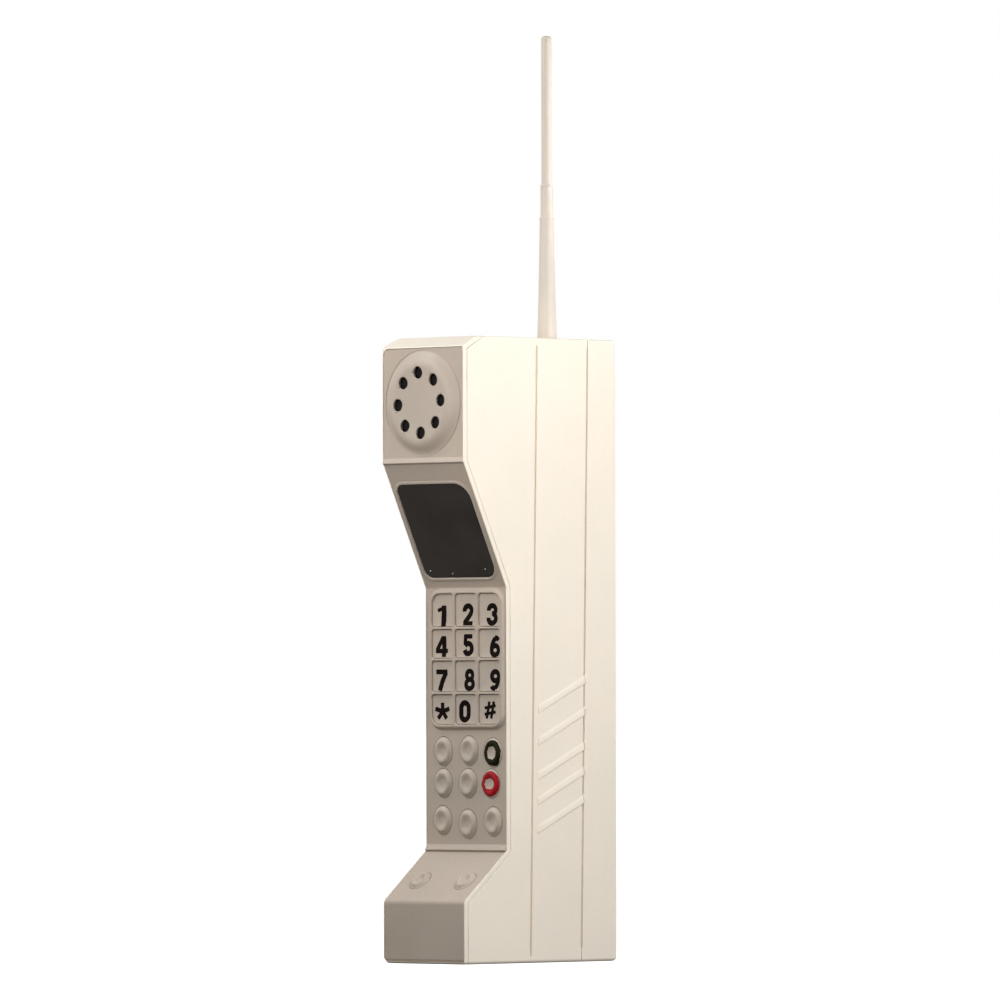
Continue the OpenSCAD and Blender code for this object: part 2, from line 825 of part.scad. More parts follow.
module contact_springs() {
    low = box_z + box_wall + plate_t;
    color("silver") along_seam(seam_2) {
        translate([-cell_x, cell_y, low]) coil();
        translate([cell_x, cell_y, low + nipple_h + cell_l]) coil();
    }
}

module contact_plates() {
    plate_w = 11;
    plate_d = 10;
    color("gold") along_seam(seam_2)
        for (x = [-cell_x, cell_x], z = [box_z + box_wall, box_z + box_l - box_wall - plate_t])
            translate([x - plate_w / 2, box_wall, z]) cube([plate_w, plate_d, plate_t]);
}

// ---- Antenna ----

module at_mast() translate([mast_x, mast_y, body_h]) children();

// Tapered base with a threaded stud below the case's top
module antenna_base() {
    color(cream) at_mast() difference() {
        union() {
            translate([0, 0, -stud_h]) cylinder(r = stud_r, h = stud_h + 1);
            cylinder(r1 = mast_foot_r, r2 = mast_neck_r, h = mast_base_h);
        }
        translate([0, 0, tube_low]) cylinder(r = collar_r, h = mast_base_h + stud_h);
    }
}

module antenna_tube() {
    color(cream) at_mast() difference() {
        translate([0, 0, tube_low]) cylinder(r = collar_r, h = mast_base_h + collar_h - tube_low);
        translate([0, 0, tube_low - 1])
            cylinder(r = rod_bore_r, h = mast_base_h + collar_h - tube_low + 2);
    }
}

module antenna_nut() {
    color("silver") at_mast() translate([0, 0, -wall - nut_t]) difference() {
        cylinder(r = nut_r, h = nut_t, $fn = 6);
        translate([0, 0, -1]) cylinder(r = stud_r, h = nut_t + 2);
    }
}

// Sliding rod with a rounded tip
module antenna_rod() {
    color(cream) at_mast() translate([0, 0, mast_base_h + collar_h - rod_hold]) {
        cylinder(r = rod_r, h = rod_hold + rod_out - rod_r);
        translate([0, 0, rod_hold + rod_out - rod_r]) sphere(rod_r);
    }
}

// ---- Assembly ----

front_frame();
fascia();
front_shell();
rear_shell();
battery_cover();
case_screws();
earpiece_dish();
dust_felt();
speaker_frame();
speaker_cone();
speaker_magnet();
speaker_wires();
display_lens();
display_panel();
indicator_leds();
keypad_frame();
keypad_mat();
main_board();
sound_chip();
board_screws();
chin_mat();
chin_board();
chin_wires();
battery_box();
battery_1();
battery_2();
contact_springs();
contact_plates();
battery_wires();
antenna_base();
antenna_tube();
antenna_nut();
antenna_rod();
for (i = [0 : 11]) number_key(i);
for (i = [0 : 8]) panel_button(i);
for (i = [0 : 1]) chin_button(i);
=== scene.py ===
"""Looks of the toy brick phone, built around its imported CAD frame.

Lengths are millimetres in the phone's frame until add_piece() turns a mesh into metres.
X runs across the phone, the front faces -Y and Z is up.
"""

import math
import random

import bmesh
import bpy
from mathutils import Matrix, Vector, noise


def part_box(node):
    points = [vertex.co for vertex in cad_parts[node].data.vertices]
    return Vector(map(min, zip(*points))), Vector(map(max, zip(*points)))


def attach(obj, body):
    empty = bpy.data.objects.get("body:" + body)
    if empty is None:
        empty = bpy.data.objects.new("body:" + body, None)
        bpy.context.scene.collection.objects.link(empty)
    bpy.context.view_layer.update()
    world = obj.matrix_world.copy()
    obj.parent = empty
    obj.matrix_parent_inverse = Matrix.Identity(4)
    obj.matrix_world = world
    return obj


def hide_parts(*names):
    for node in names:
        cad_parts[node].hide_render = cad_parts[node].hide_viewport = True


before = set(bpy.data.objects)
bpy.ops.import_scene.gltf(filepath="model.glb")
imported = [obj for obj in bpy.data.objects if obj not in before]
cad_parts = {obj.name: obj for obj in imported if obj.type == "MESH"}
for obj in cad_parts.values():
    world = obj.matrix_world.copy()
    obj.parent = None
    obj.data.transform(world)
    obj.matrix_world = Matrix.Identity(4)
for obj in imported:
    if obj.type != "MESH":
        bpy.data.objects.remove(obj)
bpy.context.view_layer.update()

MM = 0.001


def node_box(name):
    """Lowest and highest corner of a CAD node, in millimetres."""
    low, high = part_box(name)
    return low / MM, high / MM


# ---- Sizes from the frame ----

SKIN = node_box("fascia")
COVER = node_box("battery_cover")
TRAY = node_box("keypad_frame")

HALF_W = SKIN[1].x
Y_FRONT = SKIN[0].y
Y_DEEP = TRAY[1].y
Y_BACK = COVER[1].y
BODY_H = COVER[1].z
BROW_Z = SKIN[1].z
PAD_X = (TRAY[0].x + TRAY[1].x) / 2
PAD_Z = (TRAY[0].z + TRAY[1].z) / 2

# ---- Driving dimensions, the same as in the CAD ----

WALL = 2
FACE_T = 2
CHIN_Z = 25
CREASE_Z = 45
KNEE_Z = 150
EAR_Z = 200
BROW_D = 7.5
SEAM_LEAN = math.tan(math.radians(1))
SEAM_1 = Y_FRONT + 39.4
SEAM_2 = Y_FRONT + 68.2
COVER_GAP = 0.3
GROOVE_Z = (3, BODY_H - 4)
SPEAKER_HOLE_R = 15.5
CHIN_BUTTON_X = 12.75
CHIN_DROP = 18.5

SLOPE_TURN = math.radians(90) + math.atan((Y_DEEP - Y_FRONT) / (EAR_Z - KNEE_Z))
CHIN_TURN = math.atan((CREASE_Z - CHIN_Z) / (Y_DEEP - Y_FRONT))

# ---- Dimensions of the looks alone ----

# Gap between the cream front plate and the shell behind it
SEAM_GAP = 0.12
# Depths of the coloured skin's outside and inside below its cream edge
SKIN_SINK = 0.25
SKIN_BACK = 0.65
# Heights where the skin starts, and where it reaches its full depth
SKIN_FOOT = 0.9
SKIN_ROOT = SKIN_FOOT + 1.9
# Width of the cream edge, and how much narrower the skin is than its pocket
LIP = 0.35
SKIN_FIT = 0.03
SKIN_RADII = (3.0, 1.2, 0.7, 3.0)
# Rounded corners of the casing seen from the front: foot left, foot right, top right, top left
BODY_RADII = (3.2, 1.4, 1.0, 3.4)
EDGE_R = 0.3
# How far a cutting solid runs past the casing, and a distance well outside it
OVER = 6
FAR = 80


def on_face(y, z, turn):
    """Matrix that stands flat work on a front panel: x across, y up the panel, z outwards."""
    return Matrix.Translation((0, y, z)) @ Matrix.Rotation(turn, 4, "X")


PANEL = on_face(Y_DEEP, 0, math.radians(90))
EAR = on_face(Y_FRONT, 0, math.radians(90))
SLOPE = on_face(Y_FRONT, EAR_Z, SLOPE_TURN)
CHIN = on_face(Y_DEEP, CREASE_Z, CHIN_TURN)
UPRIGHT = Matrix.Identity(4)


def seam_y(seam, z):
    """Where a leaning side seam stands at height z."""
    return seam + (z - BODY_H / 2) * SEAM_LEAN


# ---- Mesh builders ----

def link_mesh(name, bm):
    """Turns a finished mesh into an object of the scene."""
    mesh = bpy.data.meshes.new(name)
    bm.to_mesh(mesh)
    bm.free()
    piece = bpy.data.objects.new(name, mesh)
    bpy.context.scene.collection.objects.link(piece)
    return piece


def add_piece(name, bm):
    """Closes a mesh built in millimetres and adds it to the scene in metres."""
    bmesh.ops.remove_doubles(bm, verts=bm.verts, dist=1e-4)
    loose = [edge for edge in bm.edges if not edge.link_faces]
    bmesh.ops.delete(bm, geom=loose, context="EDGES")
    bmesh.ops.recalc_face_normals(bm, faces=bm.faces)
    bmesh.ops.scale(bm, vec=(MM, MM, MM), verts=bm.verts)
    return link_mesh(name, bm)


def loft(name, rings, place=UPRIGHT, around=False):
    """Solid skin through rings of equal length, with flat ends or joined back to its start."""
    bm = bmesh.new()
    rows = [[bm.verts.new(place @ Vector(point)) for point in ring] for ring in rings]
    for low, high in zip(rows, rows[1:] + rows[:1] if around else rows[1:]):
        for i, corner in enumerate(low):
            j = (i + 1) % len(low)
            bm.faces.new((corner, low[j], high[j], high[i]))
    if not around:
        bm.faces.new(rows[0])
        bm.faces.new(rows[-1])
    return add_piece(name, bm)


def lathe(name, profile, place=UPRIGHT, sides=64):
    """Solid turned about the local z axis from a closed outline of (radius, height)."""
    rings = []
    for k in range(sides):
        turn = 2 * math.pi * k / sides
        rings.append([(r * math.cos(turn), r * math.sin(turn), h) for r, h in profile])
    return loft(name, rings, place, around=True)


def rounded(corners, steps=6):
    """Closed outline from (x, y, radius) corners, each rounded by its own radius."""
    outline = []
    count = len(corners)
    for i, (x, y, radius) in enumerate(corners):
        corner = Vector((x, y))
        before = Vector(corners[i - 1][:2]) - corner
        after = Vector(corners[(i + 1) % count][:2]) - corner
        half = before.angle(after) / 2
        if radius <= 0 or half > math.radians(89):
            outline.append(corner)
            continue
        before.normalize()
        after.normalize()
        centre = corner + (before + after).normalized() * radius / math.sin(half)
        arm = corner + before * radius / math.tan(half) - centre
        turn = -math.copysign(math.pi - 2 * half, before.cross(after))
        pieces = max(2, math.ceil(abs(turn) / (math.pi / 2) * steps))
        for k in range(pieces + 1):
            c = math.cos(turn * k / pieces)
            s = math.sin(turn * k / pieces)
            outline.append(centre + Vector((arm.x * c - arm.y * s, arm.x * s + arm.y * c)))
    return outline


def rectangle(x, y, w, h, radii):
    """Rounded rectangle about (x, y). Radii run from the lower left corner anticlockwise."""
    signs = ((-1, -1), (1, -1), (1, 1), (-1, 1))
    return rounded([(x + a * w / 2, y + b * h / 2, r) for (a, b), r in zip(signs, radii)])


def ellipse(x, y, a, b, sides=48):
    turns = [2 * math.pi * k / sides for k in range(sides)]
    return [Vector((x + a * math.cos(t), y + b * math.sin(t))) for t in turns]


def grown(outline, by):
    """A closed anticlockwise outline moved outwards by a distance, with mitred corners."""
    moved = []
    for i, point in enumerate(outline):
        before = (point - outline[i - 1]).normalized()
        after = (outline[(i + 1) % len(outline)] - point).normalized()
        n1 = Vector((before.y, -before.x))
        n2 = Vector((after.y, -after.x))
        moved.append(point + by * (n1 + n2) / max(1 + n1.dot(n2), 0.3))
    return moved


def stack(name, outline, levels, place=UPRIGHT):
    """Solid through copies of an outline, one for each (growth, height) level."""
    rings = [[(p.x, p.y, h) for p in grown(outline, by)] for by, h in levels]
    return loft(name, rings, place)


def across(name, corners, half=HALF_W + OVER):
    """Extrudes rounded (y, z, radius) corners across X."""
    outline = rounded(corners)
    return loft(name, [[(x, p.x, p.y) for p in outline] for x in (-half, half)])


def block(name, low, high):
    """Plain box, used only to cut other pieces."""
    x, y, z = zip(low, high)
    ring = ((x[0], y[0]), (x[1], y[0]), (x[1], y[1]), (x[0], y[1]))
    return loft(name, [[(a, b, h) for a, b in ring] for h in z])


def bar(name, x, z, radius, start, end, sides=32):
    """Round bar between two depths along Y."""
    circle = ellipse(x, z, radius, radius, sides)
    return loft(name, [[(p.x, y, p.y) for p in circle] for y in (start, end)])


def joined(name, parts):
    """Several separate closed meshes as one piece."""
    bm = bmesh.new()
    for part in parts:
        bm.from_mesh(part.data)
        bpy.data.objects.remove(part)
    return link_mesh(name, bm)


def combine(operation, piece, others):
    """Changes a piece with other solids, one after another, which are used up."""
    for other in others:
        modifier = piece.modifiers.new("solid", "BOOLEAN")
        modifier.object = other
        modifier.operation = operation
        modifier.solver = "EXACT"
        graph = bpy.context.evaluated_depsgraph_get()
        mesh = bpy.data.meshes.new_from_object(piece.evaluated_get(graph))
        piece.modifiers.clear()
        piece.data = mesh
        bpy.data.objects.remove(other)


def cut(piece, *others):
    combine("DIFFERENCE", piece, others)


def add(piece, *others):
    combine("UNION", piece, others)


def limit(piece, *others):
    combine("INTERSECT", piece, others)


def soften(piece, width, weight=lambda middle: 1.0, angle=35, segments=2):
    """Rounds the edges sharper than an angle and shades the piece.

    weight(middle of the edge in millimetres) scales the width of each edge.
    """
    bm = bmesh.new()
    bm.from_mesh(piece.data)
    bmesh.ops.dissolve_degenerate(bm, dist=1e-6, edges=bm.edges)
    layer = bm.edges.layers.float.new("bevel_weight_edge")
    limit = math.radians(angle)
    for edge in bm.edges:
        if len(edge.link_faces) != 2 or not edge.is_convex or edge.calc_face_angle(0) < limit:
            continue
        middle = (edge.verts[0].co + edge.verts[1].co) / 2 / MM
        edge[layer] = weight(middle)
    bm.to_mesh(piece.data)
    bm.free()
    bevel = piece.modifiers.new("soft_edges", "BEVEL")
    bevel.width = width * MM
    bevel.segments = segments
    bevel.limit_method = "WEIGHT"
    bevel.use_clamp_overlap = False
    shade(piece)


SHARP = math.radians(50)


def shade(piece):
    """Smooth shading that keeps flat faces flat and sharp edges crisp."""
    piece.data.shade_smooth()
    piece.data.set_sharp_from_angle(angle=SHARP)
    normals = piece.modifiers.new("flat_faces", "WEIGHTED_NORMAL")
    normals.keep_sharp = True
    normals.weight = 80


def place_piece(piece, body, finish, slot, *nodes):
    """Gives a finished piece its material and body, and hides the CAD nodes it replaces. The slot is not
    used.
    """
    piece.data.materials.clear()
    piece.data.materials.append(finish)
    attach(piece, body)
    if nodes:
        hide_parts(*nodes)


# ---- Materials ----

def set_inputs(node, values):
    for socket, value in values.items():
        node.inputs[socket].default_value = value


def new_material(name, colour, roughness, metallic=0.0):
    material = bpy.data.materials.new(name)
    material.use_nodes = True
    shader = material.node_tree.nodes["Principled BSDF"]
    set_inputs(shader, {"Base Color": (*colour, 1), "Roughness": roughness, "Metallic": metallic})
    return material, material.node_tree, shader


def noise_node(tree, scale, detail):
    """Noise in the piece's own frame, so that it doesn't move with the view."""
    coords = tree.nodes.new("ShaderNodeTexCoord")
    texture = tree.nodes.new("ShaderNodeTexNoise")
    set_inputs(texture, {"Scale": scale, "Detail": detail})
    tree.links.new(coords.outputs["Object"], texture.inputs["Vector"])
    return texture.outputs["Fac"]


def colour_ramp(tree, factor, stops):
    ramp = tree.nodes.new("ShaderNodeValToRGB")
    elements = ramp.color_ramp.elements
    while len(elements) < len(stops):
        elements.new(0.5)
    for element, (position, colour) in zip(elements, stops):
        element.position = position
        element.color = (*colour, 1)
    tree.links.new(factor, ramp.inputs["Fac"])
    return ramp.outputs["Color"]


def tinted(colour, by):
    return tuple(c * by for c in colour)


def multiply(tree, first, second):
    mix = tree.nodes.new("ShaderNodeMix")
    mix.data_type = "RGBA"
    mix.blend_type = "MULTIPLY"
    mix.inputs["Factor"].default_value = 1.0
    first_colour, second_colour, result = mix.inputs[6], mix.inputs[7], mix.outputs[2]
    tree.links.new(first, first_colour)
    tree.links.new(second, second_colour)
    return result


def uneven_sheen(tree, shader, scale, detail, low, high):
    """Roughness that follows noise between two values."""
    node = tree.nodes.new("ShaderNodeMapRange")
    set_inputs(node, {"From Min": 0.3, "From Max": 0.7, "To Min": low, "To Max": high})
    tree.links.new(noise_node(tree, scale, detail), node.inputs["Value"])
    tree.links.new(node.outputs["Result"], shader.inputs["Roughness"])


def bumps(tree, shader, *layers):
    """Stacked bumps from (noise scale, height in metres) layers."""
    normal = None
    for scale, height in layers:
        bump = tree.nodes.new("ShaderNodeBump")
        set_inputs(bump, {"Strength": 1.0, "Distance": height})
        tree.links.new(noise_node(tree, scale, 3), bump.inputs["Height"])
        if normal is not None:
            tree.links.new(normal, bump.inputs["Normal"])
        normal = bump.outputs["Normal"]
    tree.links.new(normal, shader.inputs["Normal"])


# Noise scales of the paint's blotches, specks, sheen, waves and grain
BLOTCH_SCALE, SPECK_SCALE, SHEEN_SCALE, WAVE_SCALE, GRAIN_SCALE = 38, 900, 120, 55, 700
GRAIN_HEIGHT = 0.000012


def paint(name, colour, roughness, blotch=0.05, speck=0.06, wave=0.00006, gloss=0.5):
    """Hand-finished satin paint: broad blotches, fine specks, a waved skin and uneven sheen."""
    material, tree, shader = new_material(name, colour, roughness)
    shader.inputs["Specular IOR Level"].default_value = gloss
    warm = (colour[0] * (1 + blotch), colour[1] * (1 + blotch * 0.6), colour[2])
    cool = (colour[0] * (1 - blotch), colour[1] * (1 - blotch * 0.7), colour[2] * (1 - blotch))
    broad = colour_ramp(tree, noise_node(tree, BLOTCH_SCALE, 5), [(0.36, cool), (0.52, colour), (0.66, warm)])
    dark, white = tinted((1, 1, 1), 1 - speck), (1, 1, 1)
    fine = colour_ramp(tree, noise_node(tree, SPECK_SCALE, 3), [(0.30, dark), (0.46, white)])
    tree.links.new(multiply(tree, broad, fine), shader.inputs["Base Color"])
    uneven_sheen(tree, shader, SHEEN_SCALE, 3, roughness - 0.06, roughness + 0.07)
    bumps(tree, shader, (WAVE_SCALE, wave), (GRAIN_SCALE, GRAIN_HEIGHT))
    return material


def two_tone(tree, shader, scale, dark, pale):
    """Base colour that drifts between two tones."""
    tone = colour_ramp(tree, noise_node(tree, scale, 4), [(0.35, dark), (0.65, pale)])
    tree.links.new(tone, shader.inputs["Base Color"])


def plain_plastic(name, colour, roughness, grain=1200, height=0.00001, metallic=0.0):
    """Moulded or plated surface with a fine grain and a slight change of tone."""
    material, tree, shader = new_material(name, colour, roughness, metallic)
    two_tone(tree, shader, 150, tinted(colour, 0.88), tinted(colour, 1.08))
    uneven_sheen(tree, shader, 300, 3, roughness - 0.05, roughness + 0.08)
    bumps(tree, shader, (grain, height))
    return material


def smoked_gloss(name):
    """Dark polished acrylic with faint dust and a slow ripple."""
    material, tree, shader = new_material(name, (0.030, 0.024, 0.022), 0.12)
    two_tone(tree, shader, 60, (0.024, 0.019, 0.018), (0.034, 0.028, 0.025))
    uneven_sheen(tree, shader, 500, 5, 0.10, 0.22)
    set_inputs(shader, {"Specular IOR Level": 0.35, "Coat Weight": 0.15, "Coat Roughness": 0.08})
    bumps(tree, shader, (45, 0.00004))
    return material


CREAM = paint("cream_paint", (0.89, 0.81, 0.70), 0.50, blotch=0.02, speck=0.03)
TAUPE = paint("taupe_paint", (0.490, 0.412, 0.343), 0.52, blotch=0.05)
KEY_TAUPE = paint("key_taupe_paint", (0.508, 0.430, 0.361), 0.50, blotch=0.06)
# Antenna paint: ivory painted darker than its own tone, as painted shade for the lower light that the round
# antenna gets
SHADED_IVORY = paint("ivory_paint_with_painted_shade", (0.665, 0.592, 0.515), 0.45, blotch=0.03, speck=0.03, wave=0.00003)
GREEN = paint("green_brushed_paint", (0.010, 0.011, 0.003), 0.60, blotch=0.5, speck=0.3, gloss=0.10)
RED = paint("red_brushed_paint", (0.36, 0.006, 0.014), 0.55, blotch=0.22, speck=0.2, gloss=0.2)
INK = paint("black_print", (0.005, 0.002, 0.0015), 0.60, blotch=0.3, speck=0.2, wave=0.00002, gloss=0.07)
SMOKE = smoked_gloss("smoked_acrylic")
CLEAR = plain_plastic("led_resin", (0.70, 0.68, 0.62), 0.20)

# ---- Outlines of the stepped front ----

# Corners (y, z, radius) of the front from the foot up, and whether each bulges or is hollow
FRONT = [(Y_FRONT, 0, 2.0), (Y_FRONT, CHIN_Z, 3.0), (Y_DEEP, CREASE_Z, 0.6), (Y_DEEP, KNEE_Z, 2.0),
         (Y_FRONT, EAR_Z, 0.8), (Y_FRONT, BROW_Z, 0.5), (Y_FRONT + BROW_D, BODY_H, 2.2)]
BULGES = (1, 1, -1, -1, 1, 1, 1)
LEAST_R = 0.2
# The coloured skin covers these corners, the top bevel stays cream
SKIN_CORNERS = 6


def front_line(depth, count=len(FRONT)):
    """Corners of the front moved back by a depth, from the foot upwards."""
    points = [Vector(c[:2]) for c in FRONT[:count]]
    normals = []
    for p, q in zip(points, points[1:]):
        way = (q - p).normalized()
        normals.append(Vector((way.y, -way.x)))
    moved = [points[0] + Vector((depth / normals[0].x, 0))]
    for p, n1, n2 in zip(points[1:], normals, normals[1:]):
        moved.append(p + depth * (n1 + n2) / (1 + n1.dot(n2)))
    moved.append(points[-1] + Vector((depth / normals[-1].x, 0)))
    radii = [max(c[2] - bulge * depth, LEAST_R) for c, bulge in zip(FRONT, BULGES)]
    return [(p.x, p.y, r) for p, r in zip(moved, radii)]


# ---- Openings that keys, buttons and the screen stand in ----

KEYS = ["key_" + sign for sign in (*"123456789", "star", "0", "hash")]
BUTTONS = ("memory_button_1", "memory_button_2", "call_button",
           "memory_button_3", "memory_button_4", "end_button",
           "volume_button", "lock_button", "power_button")
CHIN_BUTTONS = ("chin_button_left", "chin_button_right")

# How far a key's flange reaches past its opening, and the gap round its cap
FLANGE_LIP = 0.25
KEY_GAP = 0.12
KEY_R = 1.4
TRAY_INNER_R = 4.2
# Half width and half height of the round buttons, and the gap round them
BUTTON_R = (5.1, 5.9)
CHIN_BUTTON_R = (4.4, 5.0)
BUTTON_GAP = 0.14
# The screen on the slope: middle across and down from the ear fold, size and corners
SCREEN_X = -0.4
SCREEN_MID = 30.5
SCREEN_SIZE = (40.8, 41.6)
SCREEN_RADII = (4.0, 6.0, 7.0, 4.8)
# Width of the ledge that the lens rests on, and the depth of its seat
LEDGE = 2.0
SEAT_D = 1.55


def key_cell(index):
    """Opening of one number key, rounder where it meets a corner of the tray."""
    low, high = node_box(KEYS[index])
    column, row = index % 3, index // 3
    corner_cells = ((0, 3), (2, 3), (2, 0), (0, 0))
    radii = [TRAY_INNER_R if (column, row) == cell else KEY_R for cell in corner_cells]
    width = high.x - low.x - 2 * FLANGE_LIP
    height = high.z - low.z - 2 * FLANGE_LIP
    return rectangle((low.x + high.x) / 2, (low.z + high.z) / 2, width, height, radii)


# How far each round button stands off its place: x, z
BUTTON_SHIFT = {"memory_button_2": (0.6, 0.3), "call_button": (0.1, -0.5), "end_button": (-1.0, -0.2),
                "volume_button": (-0.4, 0.7), "lock_button": (-0.2, -0.7), "power_button": (0.2, 0.3)}


def button_middle(name):
    low, high = node_box(name)
    dx, dz = BUTTON_SHIFT.get(name, (0, 0))
    return (low.x + high.x) / 2 + dx, (low.z + high.z) / 2 + dz


def chin_middle(index):
    return PAD_X + (2 * index - 1) * CHIN_BUTTON_X, -CHIN_DROP


def button_opening(x, y, radii=BUTTON_R):
    return ellipse(x, y, radii[0] + BUTTON_GAP, radii[1] + BUTTON_GAP)


def screen_outline(shrink=0.0):
    return grown(rectangle(SCREEN_X, -SCREEN_MID, *SCREEN_SIZE, SCREEN_RADII), -shrink)


def front_openings():
    """One cutter for every opening through the front's plates."""
    outlines = [(key_cell(i), PANEL) for i in range(len(KEYS))]
    outlines += [(button_opening(*button_middle(name)), PANEL) for name in BUTTONS]
    outlines += [(button_opening(*chin_middle(i), CHIN_BUTTON_R), CHIN) for i in (0, 1)]
    outlines.append((ellipse(0, DISH_Z, SPEAKER_HOLE_R, SPEAKER_HOLE_R), EAR))
    through = ((0, -FACE_T - 1), (0, 1))
    return joined("front_openings", [stack("cut", outline, through, place) for outline, place in outlines])


# ---- Casing ----

DISH_Z = (node_box("earpiece_dish")[0].z + node_box("earpiece_dish")[1].z) / 2


def soft_sided(name, corners):
    """Extrudes clockwise (y, z, radius) corners to the casing's width, with rounded side edges."""
    outline = rounded(corners)[::-1]
    rings = []
    for side in (-1, 1):
        for k in range(4)[::-side]:
            turn = math.radians(30 * k)
            x = side * (HALF_W - EDGE_R * (1 - math.cos(turn)))
            inset = EDGE_R * (1 - math.sin(turn))
            rings.append([(x, p.x, p.y) for p in grown(outline, -inset)])
    return loft(name, rings)


def envelope(inset, top, radii):
    """Rounded front view run through the whole depth. An inset one runs past the foot."""
    low = -1 if inset else 0
    outline = rectangle(0, (low + top) / 2, 2 * (HALF_W - inset), top - low, radii)
    return loft("envelope", [[(p.x, y, p.y) for p in outline] for y in (Y_FRONT - OVER, Y_BACK + OVER)])


def round_corners(piece):
    """Gives a part of the casing its rounded corners."""
    limit(piece, envelope(0, BODY_H, BODY_RADII))


# Half width of a groove at each distance outside the casing's side
GROOVE_SECTION = ((0.72, 0.3), (0.66, 0.03), (0.55, -0.06), (0.47, -0.2), (0.43, -0.6), (0.3, -1.05))
# The rear groove starts this much higher than the front one
REAR_GROOVE_UP = 3
# Length of a groove's run-out and the share of its section left there
FOOT_RUN_OUT = (0.8, 0.25)
TOP_RUN_OUT = (1.2, 0.2)


def groove_cutters(seam):
    """Tapered troughs along a seam, on both sides."""
    foot, top = GROOVE_Z
    if seam > SEAM_1:
        foot += REAR_GROOVE_UP
    levels = ((foot - FOOT_RUN_OUT[0], FOOT_RUN_OUT[1]), (foot, 1), (top, 1),
              (top + TOP_RUN_OUT[0], TOP_RUN_OUT[1]))
    cutters = []
    for side in (-1, 1):
        face = side * HALF_W
        section = [(-w, face + side * d) for w, d in GROOVE_SECTION]
        section += [(w, face + side * d) for w, d in reversed(GROOVE_SECTION)]
        rings = []
        for z, narrow in levels:
            middle = seam_y(seam, z)
            rings.append([(x if narrow == 1 else face + (x - face) * narrow + side * 0.02,
                           middle + w * narrow, z) for w, x in section])
        cutters.append(loft("groove", rings))
    return joined("grooves", cutters)


# Share of the full rounding along a seam, and the reach of seam and groove
SEAM_SOFT = 0.12
SEAM_REACH = 0.06
GROOVE_REACH = 0.8
INNER_MARGIN = 0.4


def casing_weight(middle):
    """Full rounding on outer edges, a hairline on the side seams, none inside or on the ribs."""
    inner = WALL - INNER_MARGIN
    if abs(middle.x) < HALF_W - inner and inner < middle.z < BODY_H - inner:
        return 0.0
    if abs(middle.x) > HALF_W + 0.02:
        return 0.0
    for seam in (SEAM_1, SEAM_2, SEAM_2 + COVER_GAP):
        if abs(middle.y - seam_y(seam, middle.z)) < SEAM_REACH:
            return SEAM_SOFT
    for seam in (SEAM_1, SEAM_2 + COVER_GAP / 2):
        if abs(middle.y - seam_y(seam, middle.z)) < GROOVE_REACH and 1 < middle.z < BODY_H - 1.5:
            return 0.0
    return 1.0


# Screw posts: radius, distance from the outside, and radii of the screw's holes and head
POST_R = 3.4
POST_INSET = WALL + 3.2
PILOT_R = 1.3
SCREW_HOLE_R = 1.6
SCREW_HEAD_R = 2.7
POSTS = [(x, z) for x in (POST_INSET - HALF_W, HALF_W - POST_INSET)
         for z in (POST_INSET, BODY_H - POST_INSET)]


def posts(radius, start, end):
    """Four screw posts, or their bores, along Y."""
    return joined("posts", [bar("post", x, z, radius, start, end) for x, z in POSTS])


def make_front_frame():
    """Cream plate behind the coloured front, with a thin lip round it and the bevelled brow."""
    outer = front_line(0)
    inner = front_line(FACE_T)[::-1]
    outer[0] = (*outer[0][:2], 1.0)
    inner[0] = (*inner[0][:2], 0)
    inner[-1] = (*inner[-1][:2], 0.8)
    plate = soft_sided("front_frame_cream", outer + inner)
    round_corners(plate)
    skin_back = front_line(SKIN_BACK, SKIN_CORNERS)
    foot_y = skin_back[0][0]
    top_y, top_z, _ = skin_back[-1]
    skin_back[0] = (foot_y, SKIN_ROOT, 1.2)
    skin_back[-1] = (top_y, top_z - LIP, 0)
    floor_z = SKIN_FOOT - 0.05
    pocket = [(Y_FRONT - 5, top_z - LIP, 0), (Y_FRONT - 5, floor_z, 0), (foot_y + 1.0, floor_z, 0)]
    pocket = across("pocket", pocket + skin_back)
    limit(pocket, envelope(LIP, BROW_Z - LIP, SKIN_RADII))
    cut(plate, pocket, front_openings(),
        stack("lens_seat", screen_outline(), ((0, -SEAT_D), (0, 2)), SLOPE),
        stack("window", screen_outline(LEDGE), ((0, -FACE_T - 2), (0, 2)), SLOPE))
    shade(plate)
    place_piece(plate, "casing", CREAM, "casing_cream", "front_frame")


# Ridges on the skin along the two folds: (forward, up, radius) from the fold
CREASE_RIDGE = ((0.4, -0.45, 0.15), (1.35, 0.1, 0.3), (0, 2.4, 1.2))
EAR_RIDGE = ((-0.4, -0.9, 0.15), (0.8, -0.35, 0.35), (0, 1.7, 0.9))
# Raised rim round the screen, as (growth of its outline, height) levels
BEZEL = ((1.7, -0.5), (1.7, -0.28), (1.35, -0.2), (0.95, -0.03), (0.6, 0.07), (0.25, 0.05))


